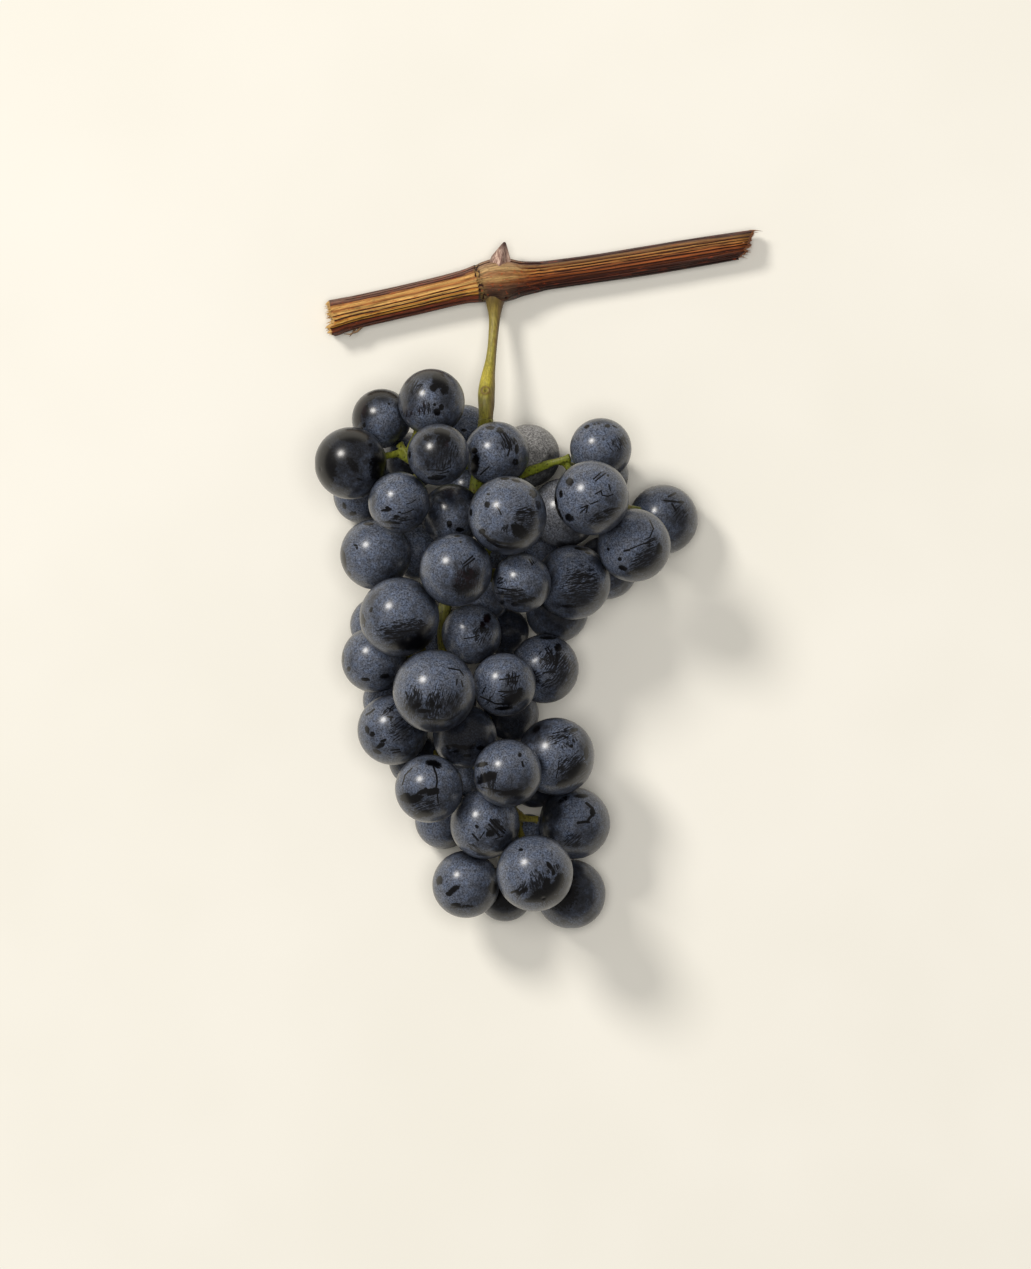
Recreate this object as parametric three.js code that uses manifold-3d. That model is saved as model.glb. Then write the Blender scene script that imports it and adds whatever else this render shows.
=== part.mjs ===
// A bunch of slip-skin table grapes, lying on its back as cut from the vine.
//
// Millimetres, +Z up. The surface it lies on is z = 0. +Y runs from the tip of the bunch
// up to the piece of cane, +X runs along the cane, and the side that shows is the top one.
// Pieces: the cane (last year's wood), the stalk (all the green stem) and each berry.

import * as THREE from "three";
import { mergeVertices } from "three/addons/utils/BufferGeometryUtils.js";
import Module from "manifold-3d";

const wasm = await Module();
wasm.setup();

// Driving dimensions

const NEIGHBOUR_GAP = 0.25;
const FLAT_DEPTH = 0.4;
const BERRY_DETAIL = 2;

const RACHIS_ROOM = 2.2;
const RACHIS_ROOM_POINTS = 80;
const RACHIS_SIDES = 8;
const RACHIS_STEPS = 22;
const RACHIS_JOINTS = 60;
const FIRST_RACHIS_JOINT = 20;
const BRANCH_RADII = [1.4, 1.3, 1.2, 1.0];
const BRANCH_SIDES = 6;
const BRANCH_STEPS = 6;
const BRANCH_JOINTS = 8;
const FIRST_BRANCH_JOINT = 3;

const PEDICEL_RADIUS = 0.85;
const PEDICEL_ROOT_RADIUS = 1.0;
const RECEPTACLE_RADIUS = 1.25;
const PEDICEL_SIDES = 5;
const PEDICEL_STEPS = 5;
const PEDICEL_POINTS = 7;
const PEDICEL_MEETS_BERRY_AT = 0.3;
const PEDICEL_CLEAR_OF_OWN_BERRY = 1.0;
const STALK_CLEAR_OF_BERRIES = 0.2;
const SHORTEST_PEDICEL = 3;
const COST_THROUGH_BERRY = 3;
const COST_IN_VIEW = 2;
const BENDING_ROUNDS = 200;
const BENDING_SHARE = 0.4;

const CANE_SIDES = 18;
const CANE_STEPS = 26;
const CANE_RIDGES = 6;
const CANE_RIDGE_HEIGHT = 0.045;
const STALK_MEETS_CANE_AT = 0.3;

// The berries that show, from the back of the bunch to the front, so that each one lies
// on those before it: middle (across, along), diameter, and the least height of the middle.
const SEEN_BERRIES = [
  // lying on the surface, at the back
  [-22.6, 47.2, 14.6, 11.3],
  [24.3, 44.0, 16.0, 0],
  [-9.0, 54.3, 14.5, 0],
  [-34.4, 39.0, 14.8, 0],
  [40.9, 32.7, 17.5, 0],
  [26.6, 20.6, 16.0, 0],
  [-30.5, 6.3, 14.2, 0],
  [14.3, 9.8, 15.8, 0],
  [-28.0, -12.5, 12.8, 0],
  [2.8, -16.0, 14.0, 0],
  [-21.3, -27.6, 13.2, 0],
  [8.8, -33.0, 13.0, 0],
  [-14.1, -42.6, 14.5, 0],
  [1.3, -61.0, 14.0, 0],
  [17.8, -61.1, 17.5, 0],
  [1.3, 4.6, 12.0, 0],
  // middle layer
  [7.1, 48.6, 16.0, 11],
  [15.8, 34.3, 17.4, 15],
  [-29.6, 57.9, 15.0, 18],
  [25.2, 50.3, 15.6, 20],
  [-0.8, 49.0, 16.4, 25],
  [-12.0, 33.8, 15.5, 20],
  [-31.1, 24.0, 17.9, 20],
  [-31.4, -2.4, 16.6, 18],
  [11.1, -4.7, 17.4, 15],
  [-7.1, 4.0, 15.1, 24],
  [-8.8, -21.6, 16.1, 22],
  [-26.8, -19.9, 17.8, 20],
  [18.6, -43.3, 18.1, 14],
  [-8.5, -58.6, 17.0, 17],
  [18.3, 17.0, 18.9, 22],
  [14.0, -26.6, 19.6, 18],
  // front layer
  [-17.1, 62.0, 16.8, 24],
  [-37.3, 46.7, 18.2, 22],
  [1.0, -8.6, 16.1, 28],
  [-3.7, -43.5, 17.6, 24],
  [-25.1, 8.3, 20.1, 30],
  [33.5, 26.2, 18.5, 24],
  [5.4, 16.8, 15.0, 28],
  [-17.7, -34.6, 17.2, 27],
  [-25.2, 36.9, 15.5, 28],
  [8.7, -55.7, 19.4, 24],
  [-11.0, 20.0, 18.4, 34],
  [22.9, 38.0, 18.8, 33],
  [1.9, -30.7, 17.2, 33],
  [-16.4, -10.2, 20.9, 34],
  [-15.4, 48.8, 15.6, 31],
  [1.9, 33.6, 19.8, 35],
];

// Berries deep in the bunch, which hardly show between the others and fill its back: middle
// (across, along), diameter, and the least height of the middle.
const DEEP_BERRIES = [
  [-20.6, 25.0, 14.4, 0],
  [-8.0, 40.5, 12.4, 0],
  [-1.5, 22.5, 12.0, 0],
  [-3.2, 13.0, 11.6, 14],
  [-15.4, 3.8, 14.4, 0],
  [7.0, -47.0, 12.0, 0],
  [10.4, 25.0, 11.4, 0],
  [-6.6, -30.2, 13.6, 0],
  [-13.2, -12.4, 14.8, 0],
];

// Main stem, from the cane down through the bunch to its tip: place and radius.
const MAIN_STEM = [
  [-1.2, 88.5, 6.2, 2.3],
  [-1.3, 86.0, 6.6, 1.95],
  [-1.3, 82.5, 7.6, 1.55],
  [-1.7, 75.8, 10.2, 1.25],
  [-2.6, 69.8, 12.6, 1.6],
  [-3.2, 65.0, 14.4, 2.0],
  [-3.4, 61.5, 15.6, 2.1],
  [-3.5, 57.0, 16.8, 1.8],
  [-7.5, 32.5, 17.0, 1.7],
  [-14.2, 7.5, 17.0, 1.6],
  [-11.2, -12.5, 17.0, 1.5],
  [-3.0, -34.0, 17.0, 1.3],
  [5.5, -42.0, 17.0, 1.1],
];

// Side branches that show: to the left shoulder, and to the right one over a berry below.
const SIDE_BRANCHES = [
  [[-3.8, 54.0, 17.2], [-9.0, 46.0, 19.0], [-16.0, 44.5, 20.5], [-25.3, 49.2, 21.5]],
  [[-4.6, 47.0, 17.0], [1.0, 43.0, 18.0], [8.0, 45.0, 19.5], [12.0, 46.5, 20.5]],
];

// Cane, from its left broken end to its right one: place of the middle and radius.
const CANE = [
  [-45.0, 82.4, 4.3, 4.2],
  [-41.5, 83.3, 4.3, 4.2],
  [-36.0, 84.6, 4.2, 3.75],
  [-20.8, 88.1, 4.2, 3.75],
  [-10.5, 90.6, 4.6, 3.8],
  [-4.5, 92.0, 5.0, 4.8],
  [-0.3, 92.6, 5.2, 5.7],
  [2.8, 92.8, 5.1, 5.3],
  [5.6, 93.0, 4.9, 4.4],
  [12.4, 93.9, 4.4, 3.6],
  [25.0, 95.7, 4.2, 3.5],
  [41.8, 98.4, 4.0, 3.6],
  [58.3, 101.0, 3.9, 3.45],
  [66.0, 102.4, 3.9, 3.3],
];

// The torn outline of each end of the cane, from its upper edge to its lower one
const LEFT_TEAR = [
  [-42.2, 92.0], [-41.7, 86.4], [-42.4, 85.7], [-41.9, 84.6], [-42.7, 83.8],
  [-42.4, 82.6], [-43.4, 81.4], [-42.5, 80.6], [-43.0, 74.0],
];
const RIGHT_TEAR = [
  [63.8, 110.0], [63.8, 104.2], [62.5, 102.2], [61.5, 101.4], [62.1, 100.2],
  [60.5, 99.0], [58.4, 97.6], [58.0, 92.0],
];

// Torn fibres at the ends and two shreds of bark: root, tip and thickness at the root
const SPLINTERS = [
  [[-41.0, 81.8, 4.4], [-44.7, 80.2, 3.4], 0.7],
  [[-40.8, 84.2, 6.4], [-44.0, 83.4, 6.0], 0.6],
  [[-40.6, 85.6, 4.0], [-43.4, 86.2, 3.6], 0.6],
  [[-38.2, 81.6, 3.4], [-35.6, 77.7, 2.2], 0.6],
  [[-36.4, 82.0, 4.6], [-34.2, 78.2, 3.6], 0.6],
  [[60.8, 103.4, 4.4], [65.8, 104.6, 4.0], 0.6],
];

// Bud on the upper side of the node, and the leaf scar opposite to it
const BUD = { root: [-0.4, 96.6, 6.4], tip: [1.5, 102.4, 7.0], radius: 3.2, sides: 5 };
const LEAF_SCAR = { middle: [1.6, 88.6, 8.7], radius: 1.4 };

const SPLINTER_SIDES = 4;
const SCAR_DETAIL = 1;
const PAST_LEFT_END = -60;
const PAST_RIGHT_END = 80;

const FINISHES = {
  berry: { color: 0x2b3248, roughness: 0.55 },
  stalk: { color: 0x9a9a4a, roughness: 0.6 },
  cane: { color: 0x8a5f3c, roughness: 0.75 },
};

// Larger than the whole bunch in every direction
const BEYOND_BUNCH = 400;

// Solids: geometry in, one closed body out

function solidOf(geometry) {
  const bare = geometry.index ? geometry.toNonIndexed() : geometry.clone();
  bare.deleteAttribute("normal");
  bare.deleteAttribute("uv");
  const merged = mergeVertices(bare, 1e-4);
  return new wasm.Manifold(new wasm.Mesh({
    numProp: 3,
    vertProperties: new Float32Array(merged.attributes.position.array),
    triVerts: new Uint32Array(merged.index.array),
  }));
}

function geometryOf(solid) {
  const mesh = solid.getMesh();
  const geometry = new THREE.BufferGeometry();
  geometry.setAttribute("position", new THREE.BufferAttribute(mesh.vertProperties, 3));
  geometry.setIndex(new THREE.BufferAttribute(mesh.triVerts, 1));
  geometry.computeVertexNormals();
  return geometry;
}

function joined(solids) {
  return solids.reduce((sum, solid) => sum.add(solid));
}

function largestBody(solid) {
  const bodies = solid.decompose();
  return bodies.reduce((best, body) => (body.volume() > best.volume() ? body : best));
}

// Everything under the surface that the bunch lies on, as one block to cut away
function underSurface() {
  const block = new THREE.BoxGeometry(BEYOND_BUNCH, BEYOND_BUNCH, BEYOND_BUNCH);
  block.translate(0, 0, -BEYOND_BUNCH / 2);
  return solidOf(block);
}

function meshOf(name, solid, finish) {
  const material = new THREE.MeshStandardMaterial({ ...finish, metalness: 0 });
  const mesh = new THREE.Mesh(geometryOf(solid), material);
  mesh.name = name;
  return mesh;
}

// A stem: a many-sided tube along a smooth path, its radius changing from point to point
function stem(points, radii, sides, steps, ridges = 0, ridgeHeight = 0) {
  const path = new THREE.CatmullRomCurve3(points, false, "centripetal");
  const outline = Array.from({ length: sides }, (_, side) => {
    const turn = (side * 2 * Math.PI) / sides;
    const out = 1 + ridgeHeight * Math.cos(ridges * turn);
    return new THREE.Vector2(out * Math.cos(turn), out * Math.sin(turn));
  });
  const tube = new THREE.ExtrudeGeometry(new THREE.Shape(outline), {
    steps,
    extrudePath: path,
    curveSegments: 1,
    bevelEnabled: false,
  });
  const middles = path.getSpacedPoints(steps);
  const lengthAt = pointLengths(points);
  const ringRadius = middles.map((_, ring) => radiusAt(lengthAt, radii, ring / steps));
  const position = tube.attributes.position;
  const corner = new THREE.Vector3();
  for (let index = 0; index < position.count; index += 1) {
    corner.fromBufferAttribute(position, index);
    const ring = nearestIndex(corner, middles);
    corner.sub(middles[ring]).multiplyScalar(ringRadius[ring]).add(middles[ring]);
    position.setXYZ(index, corner.x, corner.y, corner.z);
  }
  return tube;
}

function pointLengths(points) {
  const lengths = [0];
  for (let index = 1; index < points.length; index += 1) {
    lengths.push(lengths[index - 1] + points[index].distanceTo(points[index - 1]));
  }
  return lengths.map((length) => length / lengths[lengths.length - 1]);
}

function radiusAt(lengthAt, radii, along) {
  let index = 1;
  while (index < lengthAt.length - 1 && lengthAt[index] < along) {
    index += 1;
  }
  const share = (along - lengthAt[index - 1]) / (lengthAt[index] - lengthAt[index - 1]);
  return THREE.MathUtils.lerp(radii[index - 1], radii[index], Math.min(share, 1));
}

function nearestIndex(point, places) {
  let best = 0;
  places.forEach((place, index) => {
    if (place.distanceTo(point) < places[best].distanceTo(point)) {
      best = index;
    }
  });
  return best;
}

// Berries: where they lie

const mainStemPoints = MAIN_STEM.map(([x, y, z]) => new THREE.Vector3(x, y, z));
const mainStemRadii = MAIN_STEM.map(([, , , radius]) => radius);
const stemRoom = new THREE.CatmullRomCurve3(mainStemPoints, false, "centripetal")
  .getSpacedPoints(RACHIS_ROOM_POINTS)
  .map((middle) => ({ middle, radius: RACHIS_ROOM }));

function lyingHeight(radius) {
  return radius - FLAT_DEPTH;
}

// The height at which a ball lies on another one that it overlaps in plan
function heightOver(middle, radius, other) {
  const reach = radius + other.radius + NEIGHBOUR_GAP;
  const apart = Math.hypot(middle.x - other.middle.x, middle.y - other.middle.y);
  return apart < reach ? other.middle.z + Math.sqrt(reach * reach - apart * apart) : 0;
}

function placeBerries(rows, under) {
  const placed = [];
  for (const [x, y, diameter, least] of rows) {
    const radius = diameter / 2;
    const middle = new THREE.Vector3(x, y, Math.max(least, lyingHeight(radius)));
    const below = least > 0 ? [...under, ...placed, ...stemRoom] : [];
    for (const other of below) {
      middle.z = Math.max(middle.z, heightOver(middle, radius, other));
    }
    placed.push({ middle, radius });
  }
  return placed;
}

function isClear(middle, radius, others) {
  return others.every((other) => (
    middle.distanceTo(other.middle) >= radius + other.radius + NEIGHBOUR_GAP
  ));
}

const deepBerries = placeBerries(DEEP_BERRIES, []);
const seenBerries = placeBerries(SEEN_BERRIES, deepBerries);
const berries = [...seenBerries, ...deepBerries];
berries.forEach((berry, index) => {
  berry.name = `berry_${String(index + 1).padStart(2, "0")}`;
});

function berrySolid({ middle, radius }) {
  const ball = new THREE.IcosahedronGeometry(radius, BERRY_DETAIL);
  ball.translate(middle.x, middle.y, middle.z);
  const solid = solidOf(ball);
  return middle.z < radius ? solid.subtract(underSurface()) : solid;
}

// Pedicels: each grows from the nearest stem already there and bends clear of the berries

function pushedClear(point, room, others) {
  for (const other of others) {
    const away = point.clone().sub(other.middle);
    const need = other.radius + room;
    if (away.length() < need) {
      point.copy(other.middle).add(away.setLength(need));
    }
  }
  point.z = Math.max(point.z, room);
}

function isBehindBerry(point) {
  return berries.some(({ middle, radius }) => (
    middle.z > point.z && Math.hypot(point.x - middle.x, point.y - middle.y) < radius
  ));
}

// A route costs its length, more where it runs through a berry or shows from the front
function routeCost(start, end, others, room) {
  const samples = 12;
  let cost = start.distanceTo(end);
  for (let step = 1; step < samples; step += 1) {
    const point = start.clone().lerp(end, step / samples);
    const share = start.distanceTo(end) / samples;
    cost += isClear(point, room - NEIGHBOUR_GAP, others) ? 0 : COST_THROUGH_BERRY * share;
    cost += isBehindBerry(point) ? 0 : COST_IN_VIEW * share;
  }
  return cost;
}

function surfacePoint(berry, towards) {
  const out = towards.clone().sub(berry.middle);
  return out.setLength(berry.radius + PEDICEL_MEETS_BERRY_AT).add(berry.middle);
}

function pedicelPath(berry, joints, others) {
  const room = PEDICEL_RADIUS + PEDICEL_MEETS_BERRY_AT;
  let root = null;
  let leastCost = Infinity;
  for (const joint of joints) {
    const cost = routeCost(joint, surfacePoint(berry, joint), others, room);
    const reach = joint.distanceTo(berry.middle) - berry.radius;
    if (reach > SHORTEST_PEDICEL && cost < leastCost) {
      leastCost = cost;
      root = joint;
    }
  }
  const end = surfacePoint(berry, root);
  const points = Array.from({ length: PEDICEL_POINTS }, (_, step) => (
    root.clone().lerp(end, step / (PEDICEL_POINTS - 1))
  ));
  for (let round = 0; round < BENDING_ROUNDS; round += 1) {
    for (let step = 1; step < PEDICEL_POINTS - 1; step += 1) {
      const between = points[step - 1].clone().add(points[step + 1]).multiplyScalar(0.5);
      points[step].lerp(between, BENDING_SHARE);
      pushedClear(points[step], room, others);
      pushedClear(points[step], PEDICEL_CLEAR_OF_OWN_BERRY, [berry]);
    }
    points[PEDICEL_POINTS - 1].copy(surfacePoint(berry, points[PEDICEL_POINTS - 2]));
  }
  return points;
}

function growStalk() {
  const mainCurve = new THREE.CatmullRomCurve3(mainStemPoints, false, "centripetal");
  const joints = mainCurve.getSpacedPoints(RACHIS_JOINTS).slice(FIRST_RACHIS_JOINT);
  const limbs = [solidOf(stem(mainStemPoints, mainStemRadii, RACHIS_SIDES, RACHIS_STEPS))];
  for (const branch of SIDE_BRANCHES) {
    const points = branch.map((place) => new THREE.Vector3(...place));
    const branchJoints = new THREE.CatmullRomCurve3(points).getSpacedPoints(BRANCH_JOINTS);
    joints.push(...branchJoints.slice(FIRST_BRANCH_JOINT));
    limbs.push(solidOf(stem(points, BRANCH_RADII, BRANCH_SIDES, BRANCH_STEPS)));
  }
  const nearestFirst = [...berries].sort((first, second) => (
    nearestReach(first, joints) - nearestReach(second, joints)
  ));
  for (const berry of nearestFirst) {
    const others = berries.filter((other) => other !== berry);
    const points = pedicelPath(berry, joints, others);
    const radii = points.map(() => PEDICEL_RADIUS);
    radii[0] = PEDICEL_ROOT_RADIUS;
    radii[radii.length - 1] = RECEPTACLE_RADIUS;
    limbs.push(solidOf(stem(points, radii, PEDICEL_SIDES, PEDICEL_STEPS)));
    joints.push(...points.slice(1, (PEDICEL_POINTS + 1) / 2));
  }
  const room = caneBody(STALK_MEETS_CANE_AT);
  return largestBody(clearOfBerries(joined(limbs)).subtract(room));
}

function nearestReach(berry, joints) {
  return Math.min(...joints.map((joint) => joint.distanceTo(berry.middle) - berry.radius));
}

function clearOfBerries(stalk) {
  let left = stalk;
  for (const berry of berries) {
    const radius = berry.radius + STALK_CLEAR_OF_BERRIES;
    const room = solidOf(new THREE.IcosahedronGeometry(radius, BERRY_DETAIL)
      .translate(...berry.middle.toArray()));
    if (!left.intersect(room).isEmpty()) {
      left = left.subtract(room);
    }
  }
  return left;
}

// Cane

function caneBody(room) {
  const points = CANE.map(([x, y, z]) => new THREE.Vector3(x, y, z));
  const radii = CANE.map(([, , , radius]) => radius + room);
  return solidOf(stem(points, radii, CANE_SIDES, CANE_STEPS, CANE_RIDGES, CANE_RIDGE_HEIGHT));
}

// The block of air past a torn end, reaching outwards from the tear
function airPast(tear, outerX) {
  const outline = [...tear, [outerX, tear[tear.length - 1][1]], [outerX, tear[0][1]]];
  const shape = new THREE.Shape(outline.map(([x, y]) => new THREE.Vector2(x, y)));
  const block = new THREE.ExtrudeGeometry(shape, { depth: BEYOND_BUNCH, bevelEnabled: false });
  return solidOf(block.translate(0, 0, -BEYOND_BUNCH / 2));
}

function spike([root, tip, radius], sides) {
  const start = new THREE.Vector3(...root);
  const along = new THREE.Vector3(...tip).sub(start);
  const cone = new THREE.ConeGeometry(radius, along.length(), sides);
  cone.translate(0, along.length() / 2, 0);
  const turn = new THREE.Quaternion().setFromUnitVectors(
    new THREE.Vector3(0, 1, 0),
    along.clone().normalize(),
  );
  cone.applyQuaternion(turn);
  cone.translate(start.x, start.y, start.z);
  return solidOf(cone);
}

function caneSolid() {
  const scar = new THREE.IcosahedronGeometry(LEAF_SCAR.radius, SCAR_DETAIL);
  scar.translate(...LEAF_SCAR.middle);
  return caneBody(0)
    .subtract(airPast(LEFT_TEAR, PAST_LEFT_END))
    .subtract(airPast(RIGHT_TEAR, PAST_RIGHT_END))
    .add(joined(SPLINTERS.map((splinter) => spike(splinter, SPLINTER_SIDES))))
    .add(spike([BUD.root, BUD.tip, BUD.radius], BUD.sides))
    .add(solidOf(scar))
    .subtract(underSurface());
}

const group = new THREE.Group();
group.add(meshOf("cane", caneSolid(), FINISHES.cane));
berries.forEach((berry) => {
  group.add(meshOf(berry.name, berrySolid(berry), FINISHES.berry));
});
group.add(meshOf("stalk", growStalk(), FINISHES.stalk));

// The origin is under the middle of the whole bunch, on the surface that it lies on
const box = new THREE.Box3().setFromObject(group);
group.position.set(-(box.min.x + box.max.x) / 2, -(box.min.y + box.max.y) / 2, 0);

export default group;
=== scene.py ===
"""A bunch of slip-skin table grapes lying on its back, with the piece of cane it was cut with."""

import math
import random

import bmesh
import bpy
from mathutils import Matrix, Vector, noise


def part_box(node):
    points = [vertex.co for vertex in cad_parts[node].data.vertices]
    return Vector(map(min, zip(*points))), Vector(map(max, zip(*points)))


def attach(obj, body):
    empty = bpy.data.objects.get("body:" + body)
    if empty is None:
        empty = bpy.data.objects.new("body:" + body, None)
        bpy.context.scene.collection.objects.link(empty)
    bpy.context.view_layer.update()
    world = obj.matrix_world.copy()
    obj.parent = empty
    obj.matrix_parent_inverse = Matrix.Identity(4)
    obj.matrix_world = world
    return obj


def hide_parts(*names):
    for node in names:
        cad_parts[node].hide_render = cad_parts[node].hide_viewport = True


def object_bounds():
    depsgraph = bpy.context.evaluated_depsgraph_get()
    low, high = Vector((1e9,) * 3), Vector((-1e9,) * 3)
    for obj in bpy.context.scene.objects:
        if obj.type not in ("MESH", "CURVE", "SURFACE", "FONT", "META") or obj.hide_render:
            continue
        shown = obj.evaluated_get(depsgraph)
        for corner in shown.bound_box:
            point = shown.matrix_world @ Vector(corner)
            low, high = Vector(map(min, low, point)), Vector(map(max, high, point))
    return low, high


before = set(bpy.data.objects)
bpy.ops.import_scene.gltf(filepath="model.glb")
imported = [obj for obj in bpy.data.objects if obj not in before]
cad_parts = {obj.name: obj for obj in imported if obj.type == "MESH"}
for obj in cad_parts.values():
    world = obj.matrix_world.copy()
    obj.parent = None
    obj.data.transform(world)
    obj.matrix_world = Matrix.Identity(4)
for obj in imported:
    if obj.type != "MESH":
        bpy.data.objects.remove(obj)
cad_low, cad_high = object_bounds()

# Cane: one piece of last year's vine wood, ridged and striped lengthwise, with a swollen
# node. The bark of the left half ends in a jagged, wrinkled step at the node. The speckled
# scar of an older shoot sits on the node's lower edge, beside the stalk.

MM = 0.001

# Middle of the cane from its left end to its right one, and its radius there, in millimetres
CANE_LINE = [
    (-51.4, 65.4, 4.3, 4.2),
    (-48.8, 66.1, 4.25, 3.95),
    (-45.0, 67.0, 4.2, 3.75),
    (-38.0, 68.6, 4.2, 3.7),
    (-30.6, 70.3, 4.2, 3.75),
    (-20.3, 72.8, 4.6, 3.85),
    (-15.8, 73.8, 4.9, 4.4),
    (-12.8, 74.5, 5.1, 5.2),
    (-10.1, 74.8, 5.2, 5.65),
    (-7.0, 75.0, 5.1, 5.2),
    (-4.2, 75.2, 4.9, 4.4),
    (-0.8, 75.6, 4.6, 3.9),
    (2.6, 76.1, 4.4, 3.6),
    (15.2, 77.9, 4.2, 3.5),
    (32.0, 80.6, 4.0, 3.6),
    (44.0, 82.5, 3.9, 3.5),
    (49.5, 83.4, 3.9, 3.4),
]
CANE_STEPS = 330
CANE_AROUND = 270

# Share of the rows at each end that close over the torn wood
TORN_SHARE = 0.05
RIDGE_MM = 0.2
BARK_STEP_X = -15.2
BARK_STEP_MM = 0.28
WRINKLE_MM = 0.16
NODE_X = -10.0
OLD_SCAR = Vector((-8.3, 70.6, 9.0))

# Width and height of the old scar's lump, and of the pit in it, in millimetres
OLD_SCAR_LUMP = (1.5, 0.9)
OLD_SCAR_PIT = (0.55, 0.7)

# Corners nearer than this are one, and grooves deeper than that are at their darkest
WELD_MM = 0.002
DEEPEST_GROOVE_MM = 0.12

# Grooves: how far round the cane (0.25 faces up), how deep in millimetres, from x to x
GROOVES = [
    (0.125, 0.18, -55, -16), (0.200, 0.07, -50, -30), (0.245, 0.12, -54, -17), (0.262, 0.06, -40, -20),
    (0.278, 0.16, -54, -16), (0.300, 0.06, -46, -26), (0.318, 0.17, -54, -16), (0.345, 0.20, -55, -15),
    (0.400, 0.12, -52, -18), (0.440, 0.12, -50, -17), (0.155, 0.16, -5, 55), (0.188, 0.12, -3, 52),
    (0.205, 0.06, 8, 50), (0.220, 0.16, -4, 54), (0.236, 0.07, 2, 40), (0.250, 0.14, -3, 55),
    (0.290, 0.18, -4, 55), (0.320, 0.08, 4, 48), (0.360, 0.18, -3, 55), (0.390, 0.08, 0, 52),
    (0.430, 0.12, -2, 50), (0.080, 0.12, -50, 50), (0.030, 0.10, -48, 52), (0.560, 0.15, -52, 52),
    (0.640, 0.12, -50, 54), (0.710, 0.16, -53, 52), (0.790, 0.12, -50, 50), (0.870, 0.15, -52, 53),
    (0.940, 0.12, -50, 52),
]
GROOVE_HALF_WIDTH = 0.0085
GROOVE_REACH = 0.02
GROOVE_FADE_MM = 4.0
FINE_GROOVES = 70
FINE_GROOVE_HALF_WIDTH = 0.0045
FINE_GROOVE_MM = (0.04, 0.1)
FINE_GROOVE_LENGTHS = (12, 45)

# How far each torn end reaches past the last row, from its upper edge (1) to its lower (-1)
LEFT_TEAR = [
    (-1.0, 0.9), (-0.85, 1.7), (-0.7, 1.2), (-0.5, 1.8), (-0.35, 0.5), (-0.2, 0.1), (0.2, 0.4),
    (1.0, 0.0),
]
RIGHT_TEAR = [
    (-1.0, -1.4), (-0.7, 0.6), (-0.5, 1.8), (-0.3, 1.4), (-0.1, 2.6), (0.3, 3.0), (0.6, 3.8),
    (1.0, 4.6),
]


def along_rows(rows, place):
    """The row at a place from 0 to 1 along rows of numbers, smoothly joined."""
    spot_on_rows = min(max(place, 0.0), 1.0) * (len(rows) - 1)
    first = min(int(spot_on_rows), len(rows) - 2)
    share = spot_on_rows - first
    weights = (
        0.5 * (-share + 2 * share**2 - share**3),
        0.5 * (2 - 5 * share**2 + 3 * share**3),
        0.5 * (share + 4 * share**2 - 3 * share**3),
        0.5 * (-share**2 + share**3),
    )
    near = [rows[min(max(first + step, 0), len(rows) - 1)] for step in (-1, 0, 1, 2)]
    return [sum(weight * row[k] for weight, row in zip(weights, near)) for k in range(len(rows[0]))]


def straight_between(pairs, at):
    """The second number of the pairs at a value of the first, on straight lines."""
    for (low, start), (high, end) in zip(pairs, pairs[1:]):
        if at <= high:
            share = (at - low) / (high - low)
            return start + (end - start) * min(max(share, 0.0), 1.0)
    return pairs[-1][1]


def smooth_step(low, high, value):
    """0 up to the low value, 1 from the high one on, and smooth between them."""
    share = min(max((value - low) / (high - low), 0.0), 1.0)
    return share * share * (3 - 2 * share)


def stem_frame(rows, place):
    """Middle, direction, sideways and upward directions of a stem at a place along its rows."""
    middle = Vector(along_rows(rows, place)[:3])
    ahead = Vector(along_rows(rows, place + 0.004)[:3])
    behind = Vector(along_rows(rows, place - 0.004)[:3])
    direction = (ahead - behind).normalized()
    sideways = Vector((-direction.y, direction.x, 0)).normalized()
    return middle, direction, sideways, direction.cross(sideways).normalized()


def inside_box(corner):
    """A corner in millimetres, kept within the size of the whole part."""
    return Vector(
        min(max(value, low / MM), high / MM) for value, low, high in zip(corner, cad_low, cad_high)
    )


def rolled_stem(steps, around, skin, layer_names=()):
    """A closed round stem: a grid rolled up and welded, its corners placed by the skin rule.

    The rule gives each corner's place and a value for each named layer of the mesh.
    """
    stem = bmesh.new()
    bmesh.ops.create_grid(stem, x_segments=steps, y_segments=around, size=0.5)
    uv = stem.loops.layers.uv.new("stem")
    layers = [stem.verts.layers.float.new(name) for name in layer_names]
    for face in stem.faces:
        for loop in face.loops:
            loop[uv].uv = (loop.vert.co.x + 0.5, loop.vert.co.y + 0.5)
    for corner in stem.verts:
        placed, values = skin(corner.co.x + 0.5, (corner.co.y + 0.5) * 2 * math.pi)
        corner.co = inside_box(placed) * MM
        for layer, value in zip(layers, values):
            corner[layer] = value
    bmesh.ops.remove_doubles(stem, verts=stem.verts, dist=WELD_MM * MM)
    bmesh.ops.recalc_face_normals(stem, faces=stem.faces)
    return stem


def as_piece(name, mesh, material, replaced):
    """A finished piece of the bunch from a bmesh, with its finish and the node it stands for."""
    data = bpy.data.meshes.new(name)
    mesh.to_mesh(data)
    mesh.free()
    for face in data.polygons:
        face.use_smooth = True
    piece = bpy.data.objects.new(name, data)
    bpy.context.scene.collection.objects.link(piece)
    data.materials.append(material)
    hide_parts(replaced)
    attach(piece, "root")
    return piece


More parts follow.
